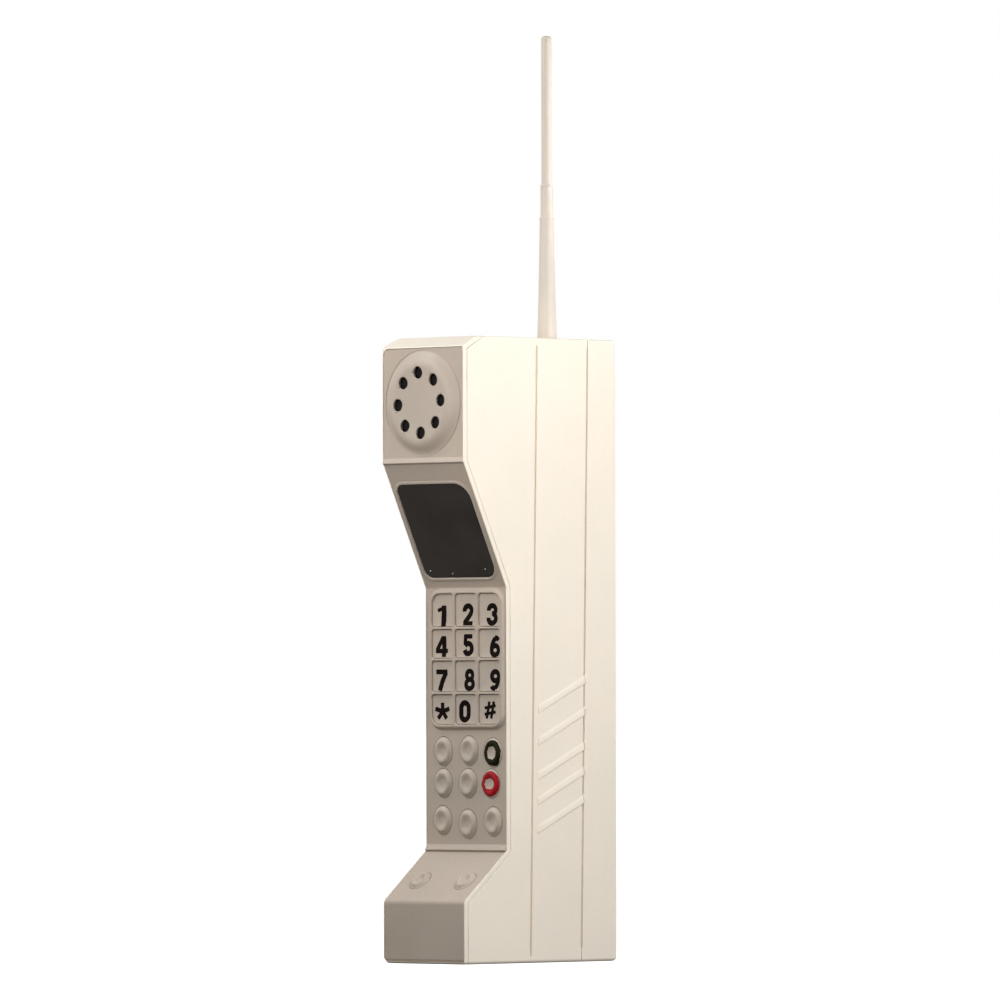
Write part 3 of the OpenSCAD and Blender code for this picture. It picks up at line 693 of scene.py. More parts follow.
def make_fascia():
    """Coloured skin over the whole stepped front, with a small ridge at each fold."""
    line = front_line(SKIN_SINK, SKIN_CORNERS)
    foot_y = line[0][0]
    face_y = Y_FRONT + SKIN_SINK
    panel_y = Y_DEEP + SKIN_SINK
    top_z = BROW_Z - LIP - SKIN_FIT
    outer = [(foot_y + 0.6, SKIN_FOOT, 0), (foot_y, SKIN_FOOT + 0.8, 0.8), line[1]]
    outer += [(panel_y - out, CREASE_Z + up, r) for out, up, r in CREASE_RIDGE]
    outer.append(line[3])
    outer += [(face_y - out, EAR_Z + up, r) for out, up, r in EAR_RIDGE]
    outer.append((face_y, top_z, 0.3))
    inner = front_line(SKIN_BACK, SKIN_CORNERS)[::-1]
    inner[0] = (inner[0][0], top_z, 0)
    inner[-1] = (inner[-1][0], SKIN_ROOT, 1.2)
    skin = across("fascia_skin", outer + inner + [(foot_y + 1.35, SKIN_FOOT, 0)])
    limit(skin, envelope(LIP + 0.02, top_z, SKIN_RADII))
    cut(skin, front_openings())
    add(skin, stack("bezel", screen_outline(), BEZEL, SLOPE))
    cut(skin, stack("window", screen_outline(), ((0, -2), (0, 2)), SLOPE))
    soften(skin, 0.16, angle=40)
    place_piece(skin, "casing", TAUPE, "fascia_taupe", "fascia")


def make_front_shell():
    """Casing from the front plate back to the first seam."""
    line = front_line(FACE_T + SEAM_GAP)
    line[0] = (*line[0][:2], 1.1)
    line[-1] = (*line[-1][:2], 0.3)
    ends = [(seam_y(SEAM_1, BODY_H), BODY_H, 0), (seam_y(SEAM_1, 0), 0, 0)]
    shell = across("front_shell_cream", line + ends)
    round_corners(shell)
    inner = HALF_W - WALL
    cut(shell, block("hollow", (-inner, -FAR, WALL), (inner, FAR, BODY_H - WALL)))
    add(shell, posts(POST_R, Y_FRONT + 15, SEAM_1 - 2.4))
    cut(shell, posts(PILOT_R, SEAM_1 - 14, SEAM_1 + 4), groove_cutters(SEAM_1))
    soften(shell, EDGE_R, casing_weight)
    place_piece(shell, "casing", CREAM, "casing_cream", "front_shell")


# Side ribs: rise, height of each front end, and both ends behind the first seam
RIB_RISE = math.tan(math.radians(24.5))
RIB_Z = (51.4, 62.9, 72.9, 86.7, 99.6)
RIB_START = 3.0
RIB_END = SEAM_2 - SEAM_1
# Section of a rib: (height above its foot, share of its full lift)
RIB_OUT = 0.7
RIB_SECTION = ((0.0, -0.6), (0.03, 0.35), (0.22, 0.76), (0.6, 0.9), (1.6, 0.84), (2.6, 0.7),
               (3.2, 0.45), (3.6, -0.05), (3.6, -0.6))
RIB_STEPS = 14
# Random share of its lift, and random shift in height
RIB_UNEVEN = 0.10
RIB_DRIFT = 0.06


def rib(z, side, start, end):
    """Slanted ridge between two distances behind the first seam, slightly uneven."""
    rng = random.Random(int(z * 10) + side)
    foot = seam_y(SEAM_1, z)
    rings = []
    for k in range(RIB_STEPS + 1):
        along = start + (end - start) * k / RIB_STEPS
        lift = RIB_OUT * (1 + rng.uniform(-RIB_UNEVEN, RIB_UNEVEN))
        if start == RIB_START:
            lift *= min(1.0, 0.35 + 0.3 * k)
        base = z + (along - RIB_START) * RIB_RISE + rng.uniform(-RIB_DRIFT, RIB_DRIFT)
        rings.append([(side * (HALF_W + (lift * h if h > -0.5 else h)), foot + along, base + up)
                      for up, h in RIB_SECTION])
    return loft("rib", rings)


def ribs(start, end):
    return joined("ribs", [rib(z, side, start, end) for z in RIB_Z for side in (-1, 1)])


# Holes for the antenna's stud and for the battery wires
STUD_HOLE_R = 3.35
WIRE_HOLE_R = 2
WIRE_Z = 112


def between_seams(low, high, shift):
    """Corners of the region between the two seams and two heights, moved along Y."""
    corners = ((SEAM_1, low), (SEAM_2, low), (SEAM_2, high), (SEAM_1, high))
    return [(seam_y(seam, z) + shift, z, 0) for seam, z in corners]


def make_rear_shell():
    """Casing between the seams, with the side ribs, the screw holes and the antenna's hole."""
    shell = across("rear_shell_cream", between_seams(0, BODY_H, 0))
    round_corners(shell)
    cut(shell, across("cavity", between_seams(WALL, BODY_H - WALL, -WALL), HALF_W - WALL))
    add(shell, posts(POST_R, SEAM_1 + 2.5, SEAM_2 - 3.2))
    heads = [bar("head", x, z, SCREW_HEAD_R, seam_y(SEAM_2, z) - 2.0, SEAM_2 + 8) for x, z in POSTS]
    circle = ellipse(MAST.x, MAST.y, STUD_HOLE_R, STUD_HOLE_R, 32)
    stud = stack("stud", circle, ((0, BODY_H - 4), (0, BODY_H + 4)))
    wire = bar("wire", 0, WIRE_Z, WIRE_HOLE_R, SEAM_2 - 8, SEAM_2 + 8, 24)
    cut(shell, posts(SCREW_HOLE_R, SEAM_1 - 10, SEAM_2 + 10), joined("heads", heads),
        groove_cutters(SEAM_1), groove_cutters(SEAM_2 + COVER_GAP / 2), stud, wire)
    add(shell, ribs(RIB_START, RIB_END + 0.12))
    soften(shell, EDGE_R, casing_weight)
    place_piece(shell, "casing", CREAM, "casing_cream", "rear_shell")


# Rounding of the back's edges, and how much of it shows on the sides
BACK_R = 2.3
BACK_SIDE_SHARE = 0.4
# Thumb grip: heights, size and radius of its slots, and their (growth, depth) levels
GRIP_Z = [20 + 3.4 * k for k in range(6)]
GRIP_SIZE = (22, 1.5)
GRIP_R = 0.74
GRIP_LEVELS = ((0.25, -0.2), (0, 0.15), (-0.3, 0.7))
# The ribs' short ends on the cover
TIP_START = RIB_END + 0.35
TIP_END = RIB_END + 1.25


def make_battery_cover():
    """Back of the case, with rounded back corners and a thumb grip near its foot."""
    outline = rectangle(0, BODY_H / 2, 2 * HALF_W, BODY_H, BODY_RADII)
    rings = [[(p.x, seam_y(SEAM_2, p.y) + COVER_GAP, p.y) for p in outline]]
    for k in range(7):
        turn = math.radians(15 * k)
        inset = BACK_R * (1 - math.cos(turn))
        y = Y_BACK - BACK_R * (1 - math.sin(turn))
        radii = [max(r - inset, 0.15) for r in BODY_RADII]
        outline = rectangle(0, BODY_H / 2, 2 * (HALF_W - BACK_SIDE_SHARE * inset), BODY_H - 2 * inset, radii)
        rings.append([(p.x, y, p.y) for p in outline])
    cover = loft("battery_cover_cream", rings)
    inner = HALF_W - WALL
    cut(cover, block("hollow", (-inner, 0, WALL), (inner, Y_BACK - WALL, BODY_H - WALL)))
    cut(cover, groove_cutters(SEAM_2 + COVER_GAP / 2))
    grips = []
    for z in GRIP_Z:
        slot = rectangle(0, z, *GRIP_SIZE, (GRIP_R,) * 4)
        grips.append(loft("grip", [[(p.x, Y_BACK - depth, p.y) for p in grown(slot, by)]
                                   for by, depth in GRIP_LEVELS]))
    cut(cover, joined("grips", grips))
    add(cover, ribs(TIP_START, TIP_END))
    soften(cover, EDGE_R, casing_weight)
    place_piece(cover, "battery_cover", CREAM, "casing_cream", "battery_cover")


# ---- Ear dish ----

# Half section of the dish, as (radius, height)
DISH_OUTLINE = ((0, -0.35), (21.2, -0.35), (21.2, -0.28), (20.8, -0.22), (20.3, -0.08),
                (19.8, 0.14), (19.2, 0.50), (18.5, 1.00), (17.9, 1.44), (17.3, 1.80), (16.6, 2.10),
                (15.9, 2.29), (15.1, 2.38), (14.3, 2.38), (13.3, 2.28), (11.8, 2.10), (9.0, 1.95),
                (5.0, 1.86), (0, 1.84))
# Sound holes with a wide bevel, as (growth, height) levels
HOLE_R = 2.45
HOLE_COUNT = 8
HOLE_RING_R = 12.1
HOLE_TURN = math.radians(3.5)
HOLE_LEVELS = ((1.1, -1), (1.1, 0.65), (0, 1.75), (0, 4))


def make_dish():
    """Round dish with a soft sloping skirt, a slightly hollow face and eight sound holes."""
    place = EAR @ Matrix.Translation((0, DISH_Z, 0))
    dish = lathe("earpiece_dish_taupe", DISH_OUTLINE, place, 96)
    holes = []
    for k in range(HOLE_COUNT):
        turn = HOLE_TURN + 2 * math.pi * k / HOLE_COUNT
        circle = ellipse(HOLE_RING_R * math.cos(turn), HOLE_RING_R * math.sin(turn), HOLE_R, HOLE_R, 32)
        holes.append(stack("hole", circle, HOLE_LEVELS, place))
    cut(dish, joined("holes", holes))
    soften(dish, 0.28, angle=45, segments=3)
    place_piece(dish, "casing", TAUPE, "fascia_taupe", "earpiece_dish")


# ---- Screen ----

# Gap round the lens, and its (growth, height) levels
LENS_GAP = 0.12
LENS_LEVELS = ((0, -1.5), (0, -0.8), (-0.10, -0.6), (-0.30, -0.5), (-0.9, -0.45))
# Indicator lights along the lens's lower edge: places, hole and half section
LEDS = ((-17.2, -48.0), (-5.2, -49.4), (14.0, -47.6))
LED_HOLE_R = 0.42
LED_OUTLINE = ((0, -2.4), (0.36, -2.4), (0.36, -0.62), (0.30, -0.46), (0.16, -0.38), (0, -0.36))


def make_lens():
    lens = stack("display_lens_smoke", screen_outline(LENS_GAP), LENS_LEVELS, SLOPE)
    holes = [stack("hole", ellipse(x, y, LED_HOLE_R, LED_HOLE_R, 16), ((0, -3), (0, 2)), SLOPE)
             for x, y in LEDS]
    cut(lens, joined("holes", holes))
    shade(lens)
    place_piece(lens, "casing", SMOKE, "screen_smoke", "display_lens")
    tips = [lathe("led", LED_OUTLINE, SLOPE @ Matrix.Translation((x, y, 0)), 16) for x, y in LEDS]
    leds = joined("indicator_led_tips", tips)
    shade(leds)
    place_piece(leds, "casing", CLEAR, "led_clear", "indicator_leds")


# ---- Number keys ----

# Rim of the tray and rounding of its openings, as (growth, height) levels
TRAY_R = 5.5
TRAY_RIM = ((1.0, -0.35), (1.0, -0.26), (0.78, -0.16), (0.5, 0.08), (0.28, 0.40), (0.06, 0.76),
            (-0.2, 1.03), (-0.46, 1.16), (-0.75, 1.2))
CELL_FLARE = ((0, -1), (0, 0.62), (0.04, 0.84), (0.12, 1.01), (0.24, 1.13), (0.38, 1.205), (0.42, 1.5))


def make_tray():
    """Raised tray with a rounded rim and a soft web round every key."""
    width, height = TRAY[1].x - TRAY[0].x, TRAY[1].z - TRAY[0].z
    tray = stack("keypad_frame_taupe", rectangle(PAD_X, PAD_Z, width, height, (TRAY_R,) * 4), TRAY_RIM, PANEL)
    cells = [stack("cell", key_cell(i), CELL_FLARE, PANEL) for i in range(len(KEYS))]
    cut(tray, *cells)
    shade(tray)
    place_piece(tray, "casing", TAUPE, "fascia_taupe", "keypad_frame")


# Heights on a key about the panel: rim, hollow's depth, flange's foot and top
KEY_TOP = 0.62
KEY_DISH = 0.42
KEY_FOOT = -3.05
KEY_LEDGE = -2.05
KEY_RIM = ((0, 0.24), (-0.05, 0.42), (-0.16, 0.54))
KEY_SCALES = (0.94, 0.86, 0.75, 0.62, 0.46, 0.28, 0.1)
# Squareness of the hollow, steepness of its sides, and drop from the rim to its edge
KEY_SQUARE = 5
KEY_STEEP = 2.4
KEY_EDGE = 0.10


def key_face(cell):
    """Middle of a key and the height of its slightly hollow face at (x, z)."""
    xs = [p.x for p in cell]
    zs = [p.y for p in cell]
    mid = Vector(((min(xs) + max(xs)) / 2, (min(zs) + max(zs)) / 2))
    half = Vector(((max(xs) - min(xs)) / 2 - KEY_GAP, (max(zs) - min(zs)) / 2 - KEY_GAP))

    def height(x, z):
        u = abs(x - mid.x) / half.x
        v = abs(z - mid.y) / half.y
        edge = min(1.0, (u ** KEY_SQUARE + v ** KEY_SQUARE) ** (1 / KEY_SQUARE))
        return KEY_TOP - KEY_EDGE - KEY_DISH * (1 - edge ** KEY_STEEP)

    return mid, height


def make_key(index):
    """Key with a flange behind the front plate, a rounded rim and a hollow face."""
    name = KEYS[index]
    cell = key_cell(index)
    mid, height = key_face(cell)
    outline = grown(cell, -KEY_GAP)
    low, high = node_box(name)
    half = Vector((max(abs(p.x - mid.x) for p in outline), max(abs(p.y - mid.y) for p in outline)))
    flange = [Vector((mid.x + (p.x - mid.x) * (high.x - low.x) / (2 * half.x),
                      mid.y + (p.y - mid.y) * (high.z - low.z) / (2 * half.y))) for p in outline]
    rings = [[(p.x, p.y, level) for p in ring]
             for ring, level in ((flange, KEY_FOOT), (flange, KEY_LEDGE), (outline, KEY_LEDGE))]
    rings += [[(p.x, p.y, level) for p in grown(outline, by)] for by, level in KEY_RIM]
    for scale in KEY_SCALES:
        ring = [mid + (p - mid) * scale for p in outline]
        rings.append([(p.x, p.y, height(p.x, p.y)) for p in ring])
    key = loft(name + "_cap", rings, PANEL)
    shade(key)
    place_piece(key, name, KEY_TAUPE, "key_taupe", name)


# ---- Digits, drawn as (points, width, True if closed) in millimetres about a box's middle ----

def arc(x, y, a, b, start, end, steps=12):
    """Points along part of an ellipse, angles in degrees."""
    turns = [math.radians(start + (end - start) * k / steps) for k in range(steps + 1)]
    return [(x + a * math.cos(t), y + b * math.sin(t)) for t in turns]


def ring_stroke(x, y, a, b):
    return arc(x, y, a, b, 0, 345, 23)


SIX = [(ring_stroke(0, -1.55, 2.0, 1.85), 1.75, True),
       (arc(2.0, -1.2, 4.0, 4.9, 180, 112, 8) + arc(0.35, 2.0, 1.75, 1.4, 110, 15, 6), 1.7)]
STAR_TURNS = [math.radians(a) for a in (90, 18, 162, 234, 306)]

GLYPHS = {
    "key_1": [([(0.85, 4.15), (0.85, -4.15)], 2.15), ([(-2.6, 2.2), (-0.7, 2.7), (0.8, 3.85)], 1.2)],
    "key_2": [(arc(0, 1.75, 2.0, 1.75, 195, -10)
               + [(1.5, 0.4), (0.2, -1.1), (-1.3, -2.6), (-1.75, -3.45)], 1.8),
              ([(-2.6, -3.45), (2.7, -3.45)], 1.45)],
    "key_3": [(arc(0, 1.8, 2.0, 1.7, 190, -60, 14) + [(-0.2, 0.25)], 1.75),
              (arc(0, -1.6, 2.1, 1.9, 75, -190, 14), 1.8)],
    "key_4": [([(1.15, 4.2), (1.15, -4.2)], 1.9), ([(0.7, 3.9), (-2.7, -1.35)], 1.5),
              ([(-3.4, -1.75), (3.2, -1.75)], 1.5)],
    "key_5": [([(2.4, 3.5), (-1.9, 3.5)], 1.5), ([(-1.35, 4.1), (-1.75, 0.1)], 1.5),
              (arc(0, -1.4, 2.1, 2.05, 150, -165, 16), 1.8)],
    "key_6": SIX,
    "key_7": [([(-3.1, 3.45), (3.1, 3.45)], 1.6), ([(2.4, 3.3), (0.2, -0.4), (-0.9, -4.15)], 1.9)],
    "key_8": [(ring_stroke(0, 1.9, 1.75, 1.65), 1.6, True), (ring_stroke(0, -1.65, 2.05, 1.85), 1.7, True)],
    "key_9": [([(-x, -y) for x, y in points], *rest) for points, *rest in SIX],
    "key_star": [([(0, 0), (4.1 * math.cos(a), 3.5 * math.sin(a))], 1.5) for a in STAR_TURNS],
    "key_0": [(arc(0, 1.3, 2.05, 2.1, 0, 180) + arc(0, -1.3, 2.05, 2.1, 180, 360), 1.85, True)],
    "key_hash": [([(x - 0.75, -3.4), (x + 0.75, 3.4)], 1.15) for x in (-1.2, 1.3)]
                + [([(-3.1, z - 0.45), (3.1, z + 0.45)], 1.05) for z in (-1.25, 1.25)],
}

# Where each digit's middle stands off its key's middle: x, z
DIGIT_SHIFT = ((-0.6, -2.2), (0.7, -1.8), (1.1, -1.8), (-0.8, -1.0), (0.7, -0.5), (2.7, -1.1),
               (-1.0, -1.55), (1.5, -1.4), (2.8, -1.5), (-0.7, -0.7), (-1.2, -0.7), (-0.2, -0.2))
# The print's height above a key's face and depth below it, and how bold it is
INK_T = 0.07
INK_D = 0.2
BOLD = 1.2


def stroke(points, width, closed=False):
    """Flat ribbon of constant width along points, with square ends."""
    points = [Vector(p) for p in points]
    last = len(points) - 1
    rings = []
    for i, point in enumerate(points):
        steps = []
        if closed or i > 0:
            steps.append(point - points[i - 1])
        if closed or i < last:
            steps.append(points[i + 1 if i < last else 0] - point)
        ways = [step.normalized() for step in steps]
        normals = [Vector((way.y, -way.x)) for way in ways]
        n = normals[0]
        if len(normals) == 2:
            n = (n + normals[1]) / max(1 + n.dot(normals[1]), 0.5)
        left, right = point - n * width / 2, point + n * width / 2
        rings.append([(left.x, left.y, -INK_D), (left.x, left.y, INK_T),
                      (right.x, right.y, INK_T), (right.x, right.y, -INK_D)])
    return loft("stroke", rings, around=closed)


def make_digit(index):
    """Printed digit or sign that follows its key's hollow face."""
    name = KEYS[index]
    mid, height = key_face(key_cell(index))
    shift = Vector(DIGIT_SHIFT[index])
    strokes = [stroke(points, BOLD * width, *closed) for points, width, *closed in GLYPHS[name]]
    digit = strokes[0]
    digit.name = "digit_" + name.split("_")[1]
    add(digit, *strokes[1:])
    bm = bmesh.new()
    bm.from_mesh(digit.data)
    bmesh.ops.triangulate(bm, faces=bm.faces)
    for vert in bm.verts:
        x = vert.co.x / MM + mid.x + shift.x
        z = vert.co.y / MM + mid.y + shift.y
        vert.co = PANEL @ Vector((x, z, height(x, z) + vert.co.z / MM)) * MM
    bm.to_mesh(digit.data)
    bm.free()
    place_piece(digit, name, INK, None)


# ---- Round buttons ----

# A button's crest and hollow as shares of its radius, and heights of crest, hollow and rim
CREST = 0.68
HOLLOW = 0.16
BUTTON_OUT = 1.0
DIMPLE = 0.15
CHIN_DIMPLE = -0.35
BUTTON_RIM = -0.2
# How much the crest's height varies round a button
UNEVEN = 0.18
SIDES = 64
SHARES = (1.0, 0.97, 0.93, 0.88, 0.83, 0.78, 0.74, 0.69, 0.63, 0.56, 0.48, 0.4, 0.31, 0.21, 0.1)
# Lugs on both sides of a button, behind the front plate
LUG_IN = 0.4
LUG_OUT = 0.5
LUG_HALF = 3


def crater(share, turn, seed, dimple=DIMPLE):
    """Height of a button's soft crater at a share of its radius, slightly uneven by hand."""
    uneven = noise.noise(Vector((math.cos(turn) * 1.3, math.sin(turn) * 1.3, seed * 7.7)))
    top = BUTTON_OUT * (1 + UNEVEN * uneven)
    if share > CREST:
        fall = (share - CREST) / (1 - CREST)
        return BUTTON_RIM + (top - BUTTON_RIM) * (0.5 + 0.5 * math.cos(math.pi * fall))
    rise = max(0.0, (share - HOLLOW) / (CREST - HOLLOW))
    return dimple + (top - dimple) * (0.5 - 0.5 * math.cos(math.pi * rise))


def make_button(name, x, y, place, seed, radii=BUTTON_R, dimple=DIMPLE):
    rings = [[(p.x, p.y, level) for p in ellipse(x, y, *radii, SIDES)] for level in (KEY_FOOT, -0.6)]
    for share in SHARES:
        outline = ellipse(x, y, radii[0] * share, radii[1] * share, SIDES)
        rings.append([(p.x, p.y, crater(share, 2 * math.pi * k / SIDES, seed, dimple))
                      for k, p in enumerate(outline)])
    body = loft(name + "_cap", rings, place)
    lugs = []
    low, high = y - LUG_HALF, y + LUG_HALF
    for side in (-1, 1):
        inner, outer = x + side * (radii[0] - LUG_IN), x + side * (BUTTON_R[0] + LUG_OUT)
        corners = [(inner, low), (outer, low), (outer, high), (inner, high)]
        lugs.append(loft("lug", [[(*corner, h) for corner in corners] for h in (KEY_FOOT + 0.05, KEY_LEDGE)],
                         place))
    add(body, joined("lugs", lugs))
    shade(body)
    place_piece(body, name, KEY_TAUPE, "key_taupe", name)


# Rows of points across a painted ring, its thickness, and where the brush smeared it
PAINT_ROWS = 9
PAINT_OUT = 0.055
SMEAR_TURN = math.radians(-58)


def paint_ring(name, body, finish, slot, inner, outer, smear=0.0):
    """Hand-painted ring that follows a button's crater. Its edges are (x, z) radii, uneven."""
    x, y = button_middle(body)
    seed = BUTTONS.index(body)
    rings = []
    for k in range(SIDES * 2):
        turn = math.pi * k / SIDES
        c, s = math.cos(turn), math.sin(turn)
        wobble = noise.noise(Vector((c * 2.2, s * 2.2, seed)))
        ripple = noise.noise(Vector((c * 7, s * 7, seed + 3)))
        drag = smear * max(0.0, math.cos(turn - SMEAR_TURN)) ** 24
        hole = Vector((inner[0] * c, inner[1] * s)) * (1 + 0.12 * wobble + 0.06 * ripple)
        rim = Vector((outer[0] * c, outer[1] * s)) * (1 + 0.035 * wobble + 0.03 * ripple + drag)
        top, under = [], []
        for j in range(PAINT_ROWS + 1):
            point = hole.lerp(rim, j / PAINT_ROWS)
            share = Vector((point.x / BUTTON_R[0], point.y / BUTTON_R[1])).length
            high = crater(share, turn, seed) if share < 0.97 else 0.02
            out = PAINT_OUT * (0.6 if j in (0, PAINT_ROWS) else 1.0)
            top.append((x + point.x, y + point.y, high + out))
            under.append((x + point.x, y + point.y, high - PAINT_OUT))
        rings.append(top + under[::-1])
    piece = loft(name, rings, PANEL, around=True)
    shade(piece)
    place_piece(piece, body, finish, slot)


# ---- Antenna ----

MAST_BOX = node_box("antenna_base")
ROD_BOX = node_box("antenna_rod")
TUBE_BOX = node_box("antenna_tube")
MAST = Vector(((MAST_BOX[0].x + MAST_BOX[1].x) / 2, (MAST_BOX[0].y + MAST_BOX[1].y) / 2, BODY_H))
NECK_Z = MAST_BOX[1].z - BODY_H
COLLAR_Z = TUBE_BOX[1].z - BODY_H
ROD_TOP = ROD_BOX[1].z - BODY_H
ROD_FOOT = ROD_BOX[0].z - BODY_H
ROD_R = 2.1
CAP_H = 0.9
CAP_TURNS = [math.radians(15 * k) for k in range(6)]

# Half sections of the antenna's three parts, as (radius, height above the casing's top)
BASE_OUTLINE = ((2.53, -15), (3.3, -15), (3.3, -0.02), (3.78, -0.02), (3.92, 0.12), (3.9, 0.5), (3.5, 15),
                (3.08, 32), (2.86, NECK_Z - 1.4), (2.82, NECK_Z - 1.0), (2.9, NECK_Z - 0.8),
                (2.9, NECK_Z - 0.3), (2.78, NECK_Z - 0.02), (2.53, NECK_Z))
COLLAR_OUTLINE = ((2.18, -14), (2.5, -14), (2.5, COLLAR_Z - 1.3), (2.43, COLLAR_Z - 1.2),
                  (2.43, COLLAR_Z - 1.0), (2.54, COLLAR_Z - 0.85), (2.54, COLLAR_Z - 0.3),
                  (2.4, COLLAR_Z), (2.26, COLLAR_Z), (2.18, COLLAR_Z - 0.1))
ROD_OUTLINE = ((0, ROD_FOOT), (1.95, ROD_FOOT), (ROD_R, ROD_FOOT + 0.2), (ROD_R, ROD_TOP - 5.0),
               (2.04, ROD_TOP - 4.9), (2.04, ROD_TOP - 4.7), (ROD_R, ROD_TOP - 4.6),
               *((ROD_R * math.cos(a), ROD_TOP - CAP_H + CAP_H * math.sin(a)) for a in CAP_TURNS),
               (0, ROD_TOP))


def make_antenna():
    for name, body, outline, node in (("antenna_base_ivory", "casing", BASE_OUTLINE, "antenna_base"),
                                      ("antenna_collar_ivory", "casing", COLLAR_OUTLINE, "antenna_tube"),
                                      ("antenna_rod_ivory", "antenna_rod", ROD_OUTLINE, "antenna_rod")):
        piece = lathe(name, outline, Matrix.Translation(MAST), 48)
        shade(piece)
        place_piece(piece, body, SHADED_IVORY, "antenna_ivory", node)


# ---- Inner pieces: the CAD shapes with their own finishes ----

# CAD nodes and their finish: name, colour, roughness, grain scale and height, metallic share
INNER_FINISHES = (
    ("case_screws board_screws contact_springs antenna_nut",
     "plated_steel", (0.58, 0.58, 0.57), 0.28, 2500, 0.000006, 1.0),
    ("dust_felt", "black_felt", (0.014, 0.012, 0.012), 0.95, 3500, 0.00008),
    ("speaker_frame", "pressed_steel", (0.20, 0.20, 0.21), 0.4, 900, 0.00001, 0.8),
    ("speaker_cone", "cone_paper", (0.07, 0.06, 0.055), 0.9, 2500, 0.00004),
    ("speaker_magnet", "ferrite", (0.13, 0.13, 0.13), 0.7, 1800, 0.00003),
    ("speaker_wires", "red_sleeve", (0.42, 0.03, 0.03), 0.45),
    ("chin_wires", "dark_red_sleeve", (0.36, 0.03, 0.03), 0.45),
    ("battery_wires", "bright_red_sleeve", (0.46, 0.03, 0.03), 0.45),
    ("display_panel", "printed_card", (0.05, 0.05, 0.048), 0.7),
    ("keypad_mat", "silicone", (0.40, 0.40, 0.41), 0.65),
    ("chin_mat", "chin_silicone", (0.38, 0.38, 0.39), 0.65),
    ("main_board", "green_board", (0.03, 0.14, 0.07), 0.35, 1500, 0.00002),
    ("chin_board", "small_green_board", (0.03, 0.13, 0.065), 0.35, 1500, 0.00002),
    ("sound_chip", "epoxy", (0.02, 0.02, 0.02), 0.25),
    ("battery_box", "black_moulding", (0.045, 0.045, 0.045), 0.5),
    ("battery_1", "blue_sleeve", (0.09, 0.18, 0.38), 0.3),
    ("battery_2", "second_blue_sleeve", (0.10, 0.19, 0.40), 0.3),
    ("contact_plates", "brass", (0.75, 0.58, 0.28), 0.3, 2500, 0.000006, 1.0),
)


def finish_inner_pieces():
    for nodes, *finish in INNER_FINISHES:
        material = plain_plastic(*finish)
        for name in nodes.split():
            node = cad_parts[name]
            node.data.materials.clear()
            node.data.materials.append(material)


# ---- Camera, floor and light ----

LENS_MM = 376.4
# Turn from the phone's front towards its right side, tilt up and roll
AZIMUTH = math.radians(44.97)
PITCH = math.radians(1.208)
ROLL = math.radians(-0.136)
# Metres from the middle of the body without its dish, and above the floor
CAMERA_FAR = 4.1988
CAMERA_UP = 0.0969
BODY_Y = (Y_FRONT + Y_BACK) / 2 * MM


def make_camera():
    """Long lens far off the phone's front right corner, tilted up a little."""
    data = bpy.data.cameras.new("camera")
    data.lens = LENS_MM
    camera = bpy.data.objects.new("camera", data)
    place = (CAMERA_FAR * math.sin(AZIMUTH), BODY_Y - CAMERA_FAR * math.cos(AZIMUTH), CAMERA_UP)
    tilt = Matrix.Rotation(math.radians(90) + PITCH, 4, "X") @ Matrix.Rotation(ROLL, 4, "Z")
    camera.matrix_world = Matrix.Translation(place) @ Matrix.Rotation(AZIMUTH, 4, "Z") @ tilt
    bpy.context.scene.collection.objects.link(camera)
    bpy.context.scene.camera = camera


# Square lamps round the phone's head, so that it darkens towards its foot:
# place, target and size in metres, power in watts, colour and spread in degrees
WHITE, WARM = (1, 1, 1), (1.0, 0.985, 0.95)
LAMPS = {
    "above_left": ((-0.25, -0.30, 0.55), (0, -0.02, 0.20), 0.30, 1.46, WHITE, 180),
    "right_side": ((0.50, -0.10, 0.25), (0, 0.00, 0.15), 0.40, 1.29, WARM, 180),
    "head_side": ((0.32, 0.02, 0.30), (0.02, 0.01, 0.22), 0.15, 0.41, WHITE, 180),
    "high_side": ((0.45, 0.05, 0.40), (0, 0.00, 0.20), 0.30, 0.06, WHITE, 180),
    "head_front": ((0.05, -0.30, 0.24), (0, -0.03, 0.20), 0.10, 0.30, WHITE, 180),
    "mast_side": ((0.14, 0.15, 0.35), (0.008, 0.02, 0.325), 0.08, 0.022, WARM, 60),
}


def make_light():
    for name, (place, target, size, power, colour, spread) in LAMPS.items():
        data = bpy.data.lights.new(name, "AREA")
        data.size = size
        data.energy = power
        data.color = colour
        data.spread = math.radians(spread)
        lamp = bpy.data.objects.new(name, data)
        lamp.location = place
        lamp.rotation_euler = (Vector(target) - lamp.location).to_track_quat("-Z", "Y").to_euler()
        bpy.context.scene.collection.objects.link(lamp)


# Soft light from all round the studio: direction, strength and tint
GLOW = (((-1, -0.6, 1), 0.64, (0.98, 1.02, 1.03)), ((-1, -0.6, 0), 0.35, (1.0, 0.94, 0.84)),
        ((0.5, 1, 0.3), 1.0, (1.0, 1.0, 1.0)), ((1, 0, 0), 0.15, (1.0, 1.0, 1.0)),
        ((0, 0, -1), 0.12, (1.0, 0.92, 0.82)))
# Power of the cosine that narrows each of them
GLOW_FOCUS = 3


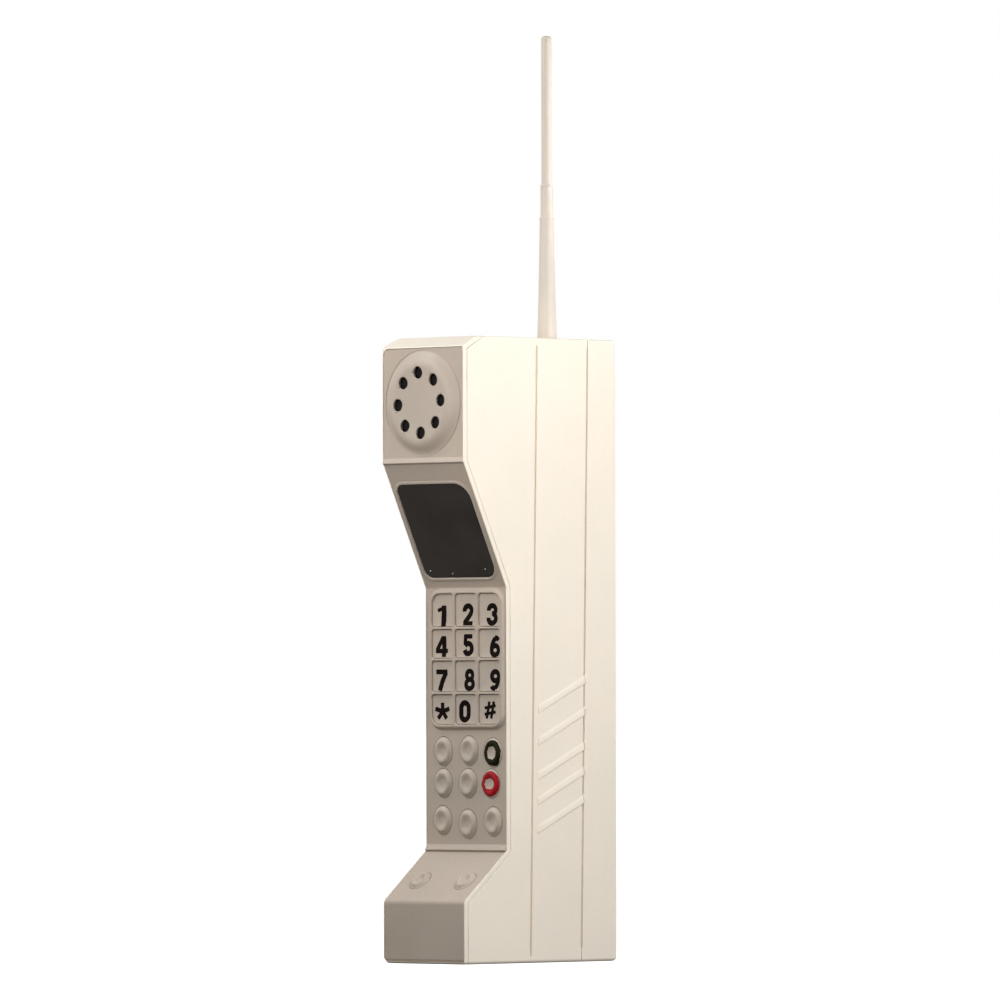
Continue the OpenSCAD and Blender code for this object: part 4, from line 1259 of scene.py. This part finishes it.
def make_world():
    """White to look at, but it lights the phone softly from a few directions."""
    world = bpy.data.worlds.new("studio")
    bpy.context.scene.world = world
    world.use_nodes = True
    tree = world.node_tree
    coords = tree.nodes.new("ShaderNodeTexCoord")

    def maths(kind, operation, first, second, output=0):
        node = tree.nodes.new("ShaderNode" + kind)
        node.operation = operation
        for socket, value in zip(node.inputs, (first, second)):
            if isinstance(value, bpy.types.NodeSocket):
                tree.links.new(value, socket)
            else:
                socket.default_value = value
        return node.outputs[output]

    total = (0.0, 0.0, 0.0)
    for direction, strength, tint in GLOW:
        toward = maths("VectorMath", "DOT_PRODUCT", coords.outputs["Generated"],
                       Vector(direction).normalized(), "Value")
        lobe = maths("Math", "POWER", maths("Math", "MAXIMUM", toward, 0.0), GLOW_FOCUS)
        glow = maths("VectorMath", "MULTIPLY", lobe, Vector(tint) * strength)
        total = maths("VectorMath", "ADD", glow, total)
    seen = tree.nodes.new("ShaderNodeLightPath").outputs["Is Camera Ray"]
    tree.links.new(maths("VectorMath", "MAXIMUM", total, seen), tree.nodes["Background"].inputs["Color"])
    tree.nodes["Background"].inputs["Strength"].default_value = 1.0


# Radius of the floor in metres, and how much it glows
FLOOR_R = 60
FLOOR_GLOW = 0.92


def make_floor():
    """Wide pale floor that glows, so that it meets the white studio with no line."""
    bm = bmesh.new()
    bmesh.ops.create_circle(bm, cap_ends=True, segments=96, radius=FLOOR_R)
    floor = link_mesh("floor", bm)
    material, tree, shader = new_material("pale_floor", (0.5, 0.5, 0.5), 0.9)
    set_inputs(shader, {"Specular IOR Level": 0.0, "Emission Color": (1, 1, 1, 1),
                        "Emission Strength": FLOOR_GLOW})
    tone = colour_ramp(tree, noise_node(tree, 3, 3), [(0.3, (0.49, 0.49, 0.49)), (0.7, (0.51, 0.51, 0.51))])
    tree.links.new(tone, shader.inputs["Base Color"])
    floor.data.materials.append(material)
    floor.visible_diffuse = False
    floor.visible_glossy = False


# ---- Build ----

make_camera()
make_floor()
make_world()
make_light()
bpy.context.scene.view_settings.view_transform = "Standard"

make_front_frame()
make_fascia()
make_front_shell()
make_rear_shell()
make_battery_cover()
make_dish()
make_lens()
make_tray()
for key in range(len(KEYS)):
    make_key(key)
    make_digit(key)
for number, name in enumerate(BUTTONS):
    make_button(name, *button_middle(name), PANEL, number)
for number, name in enumerate(CHIN_BUTTONS):
    make_button(name, *chin_middle(number), CHIN, number + 20, CHIN_BUTTON_R, CHIN_DIMPLE)
paint_ring("call_ring_green", "call_button", GREEN, "call_green", (2.35, 2.65), (4.65, 5.15), 0.12)
paint_ring("end_ring_red", "end_button", RED, "end_red", (2.6, 2.15), (5.0, 5.15))
make_antenna()
finish_inner_pieces()
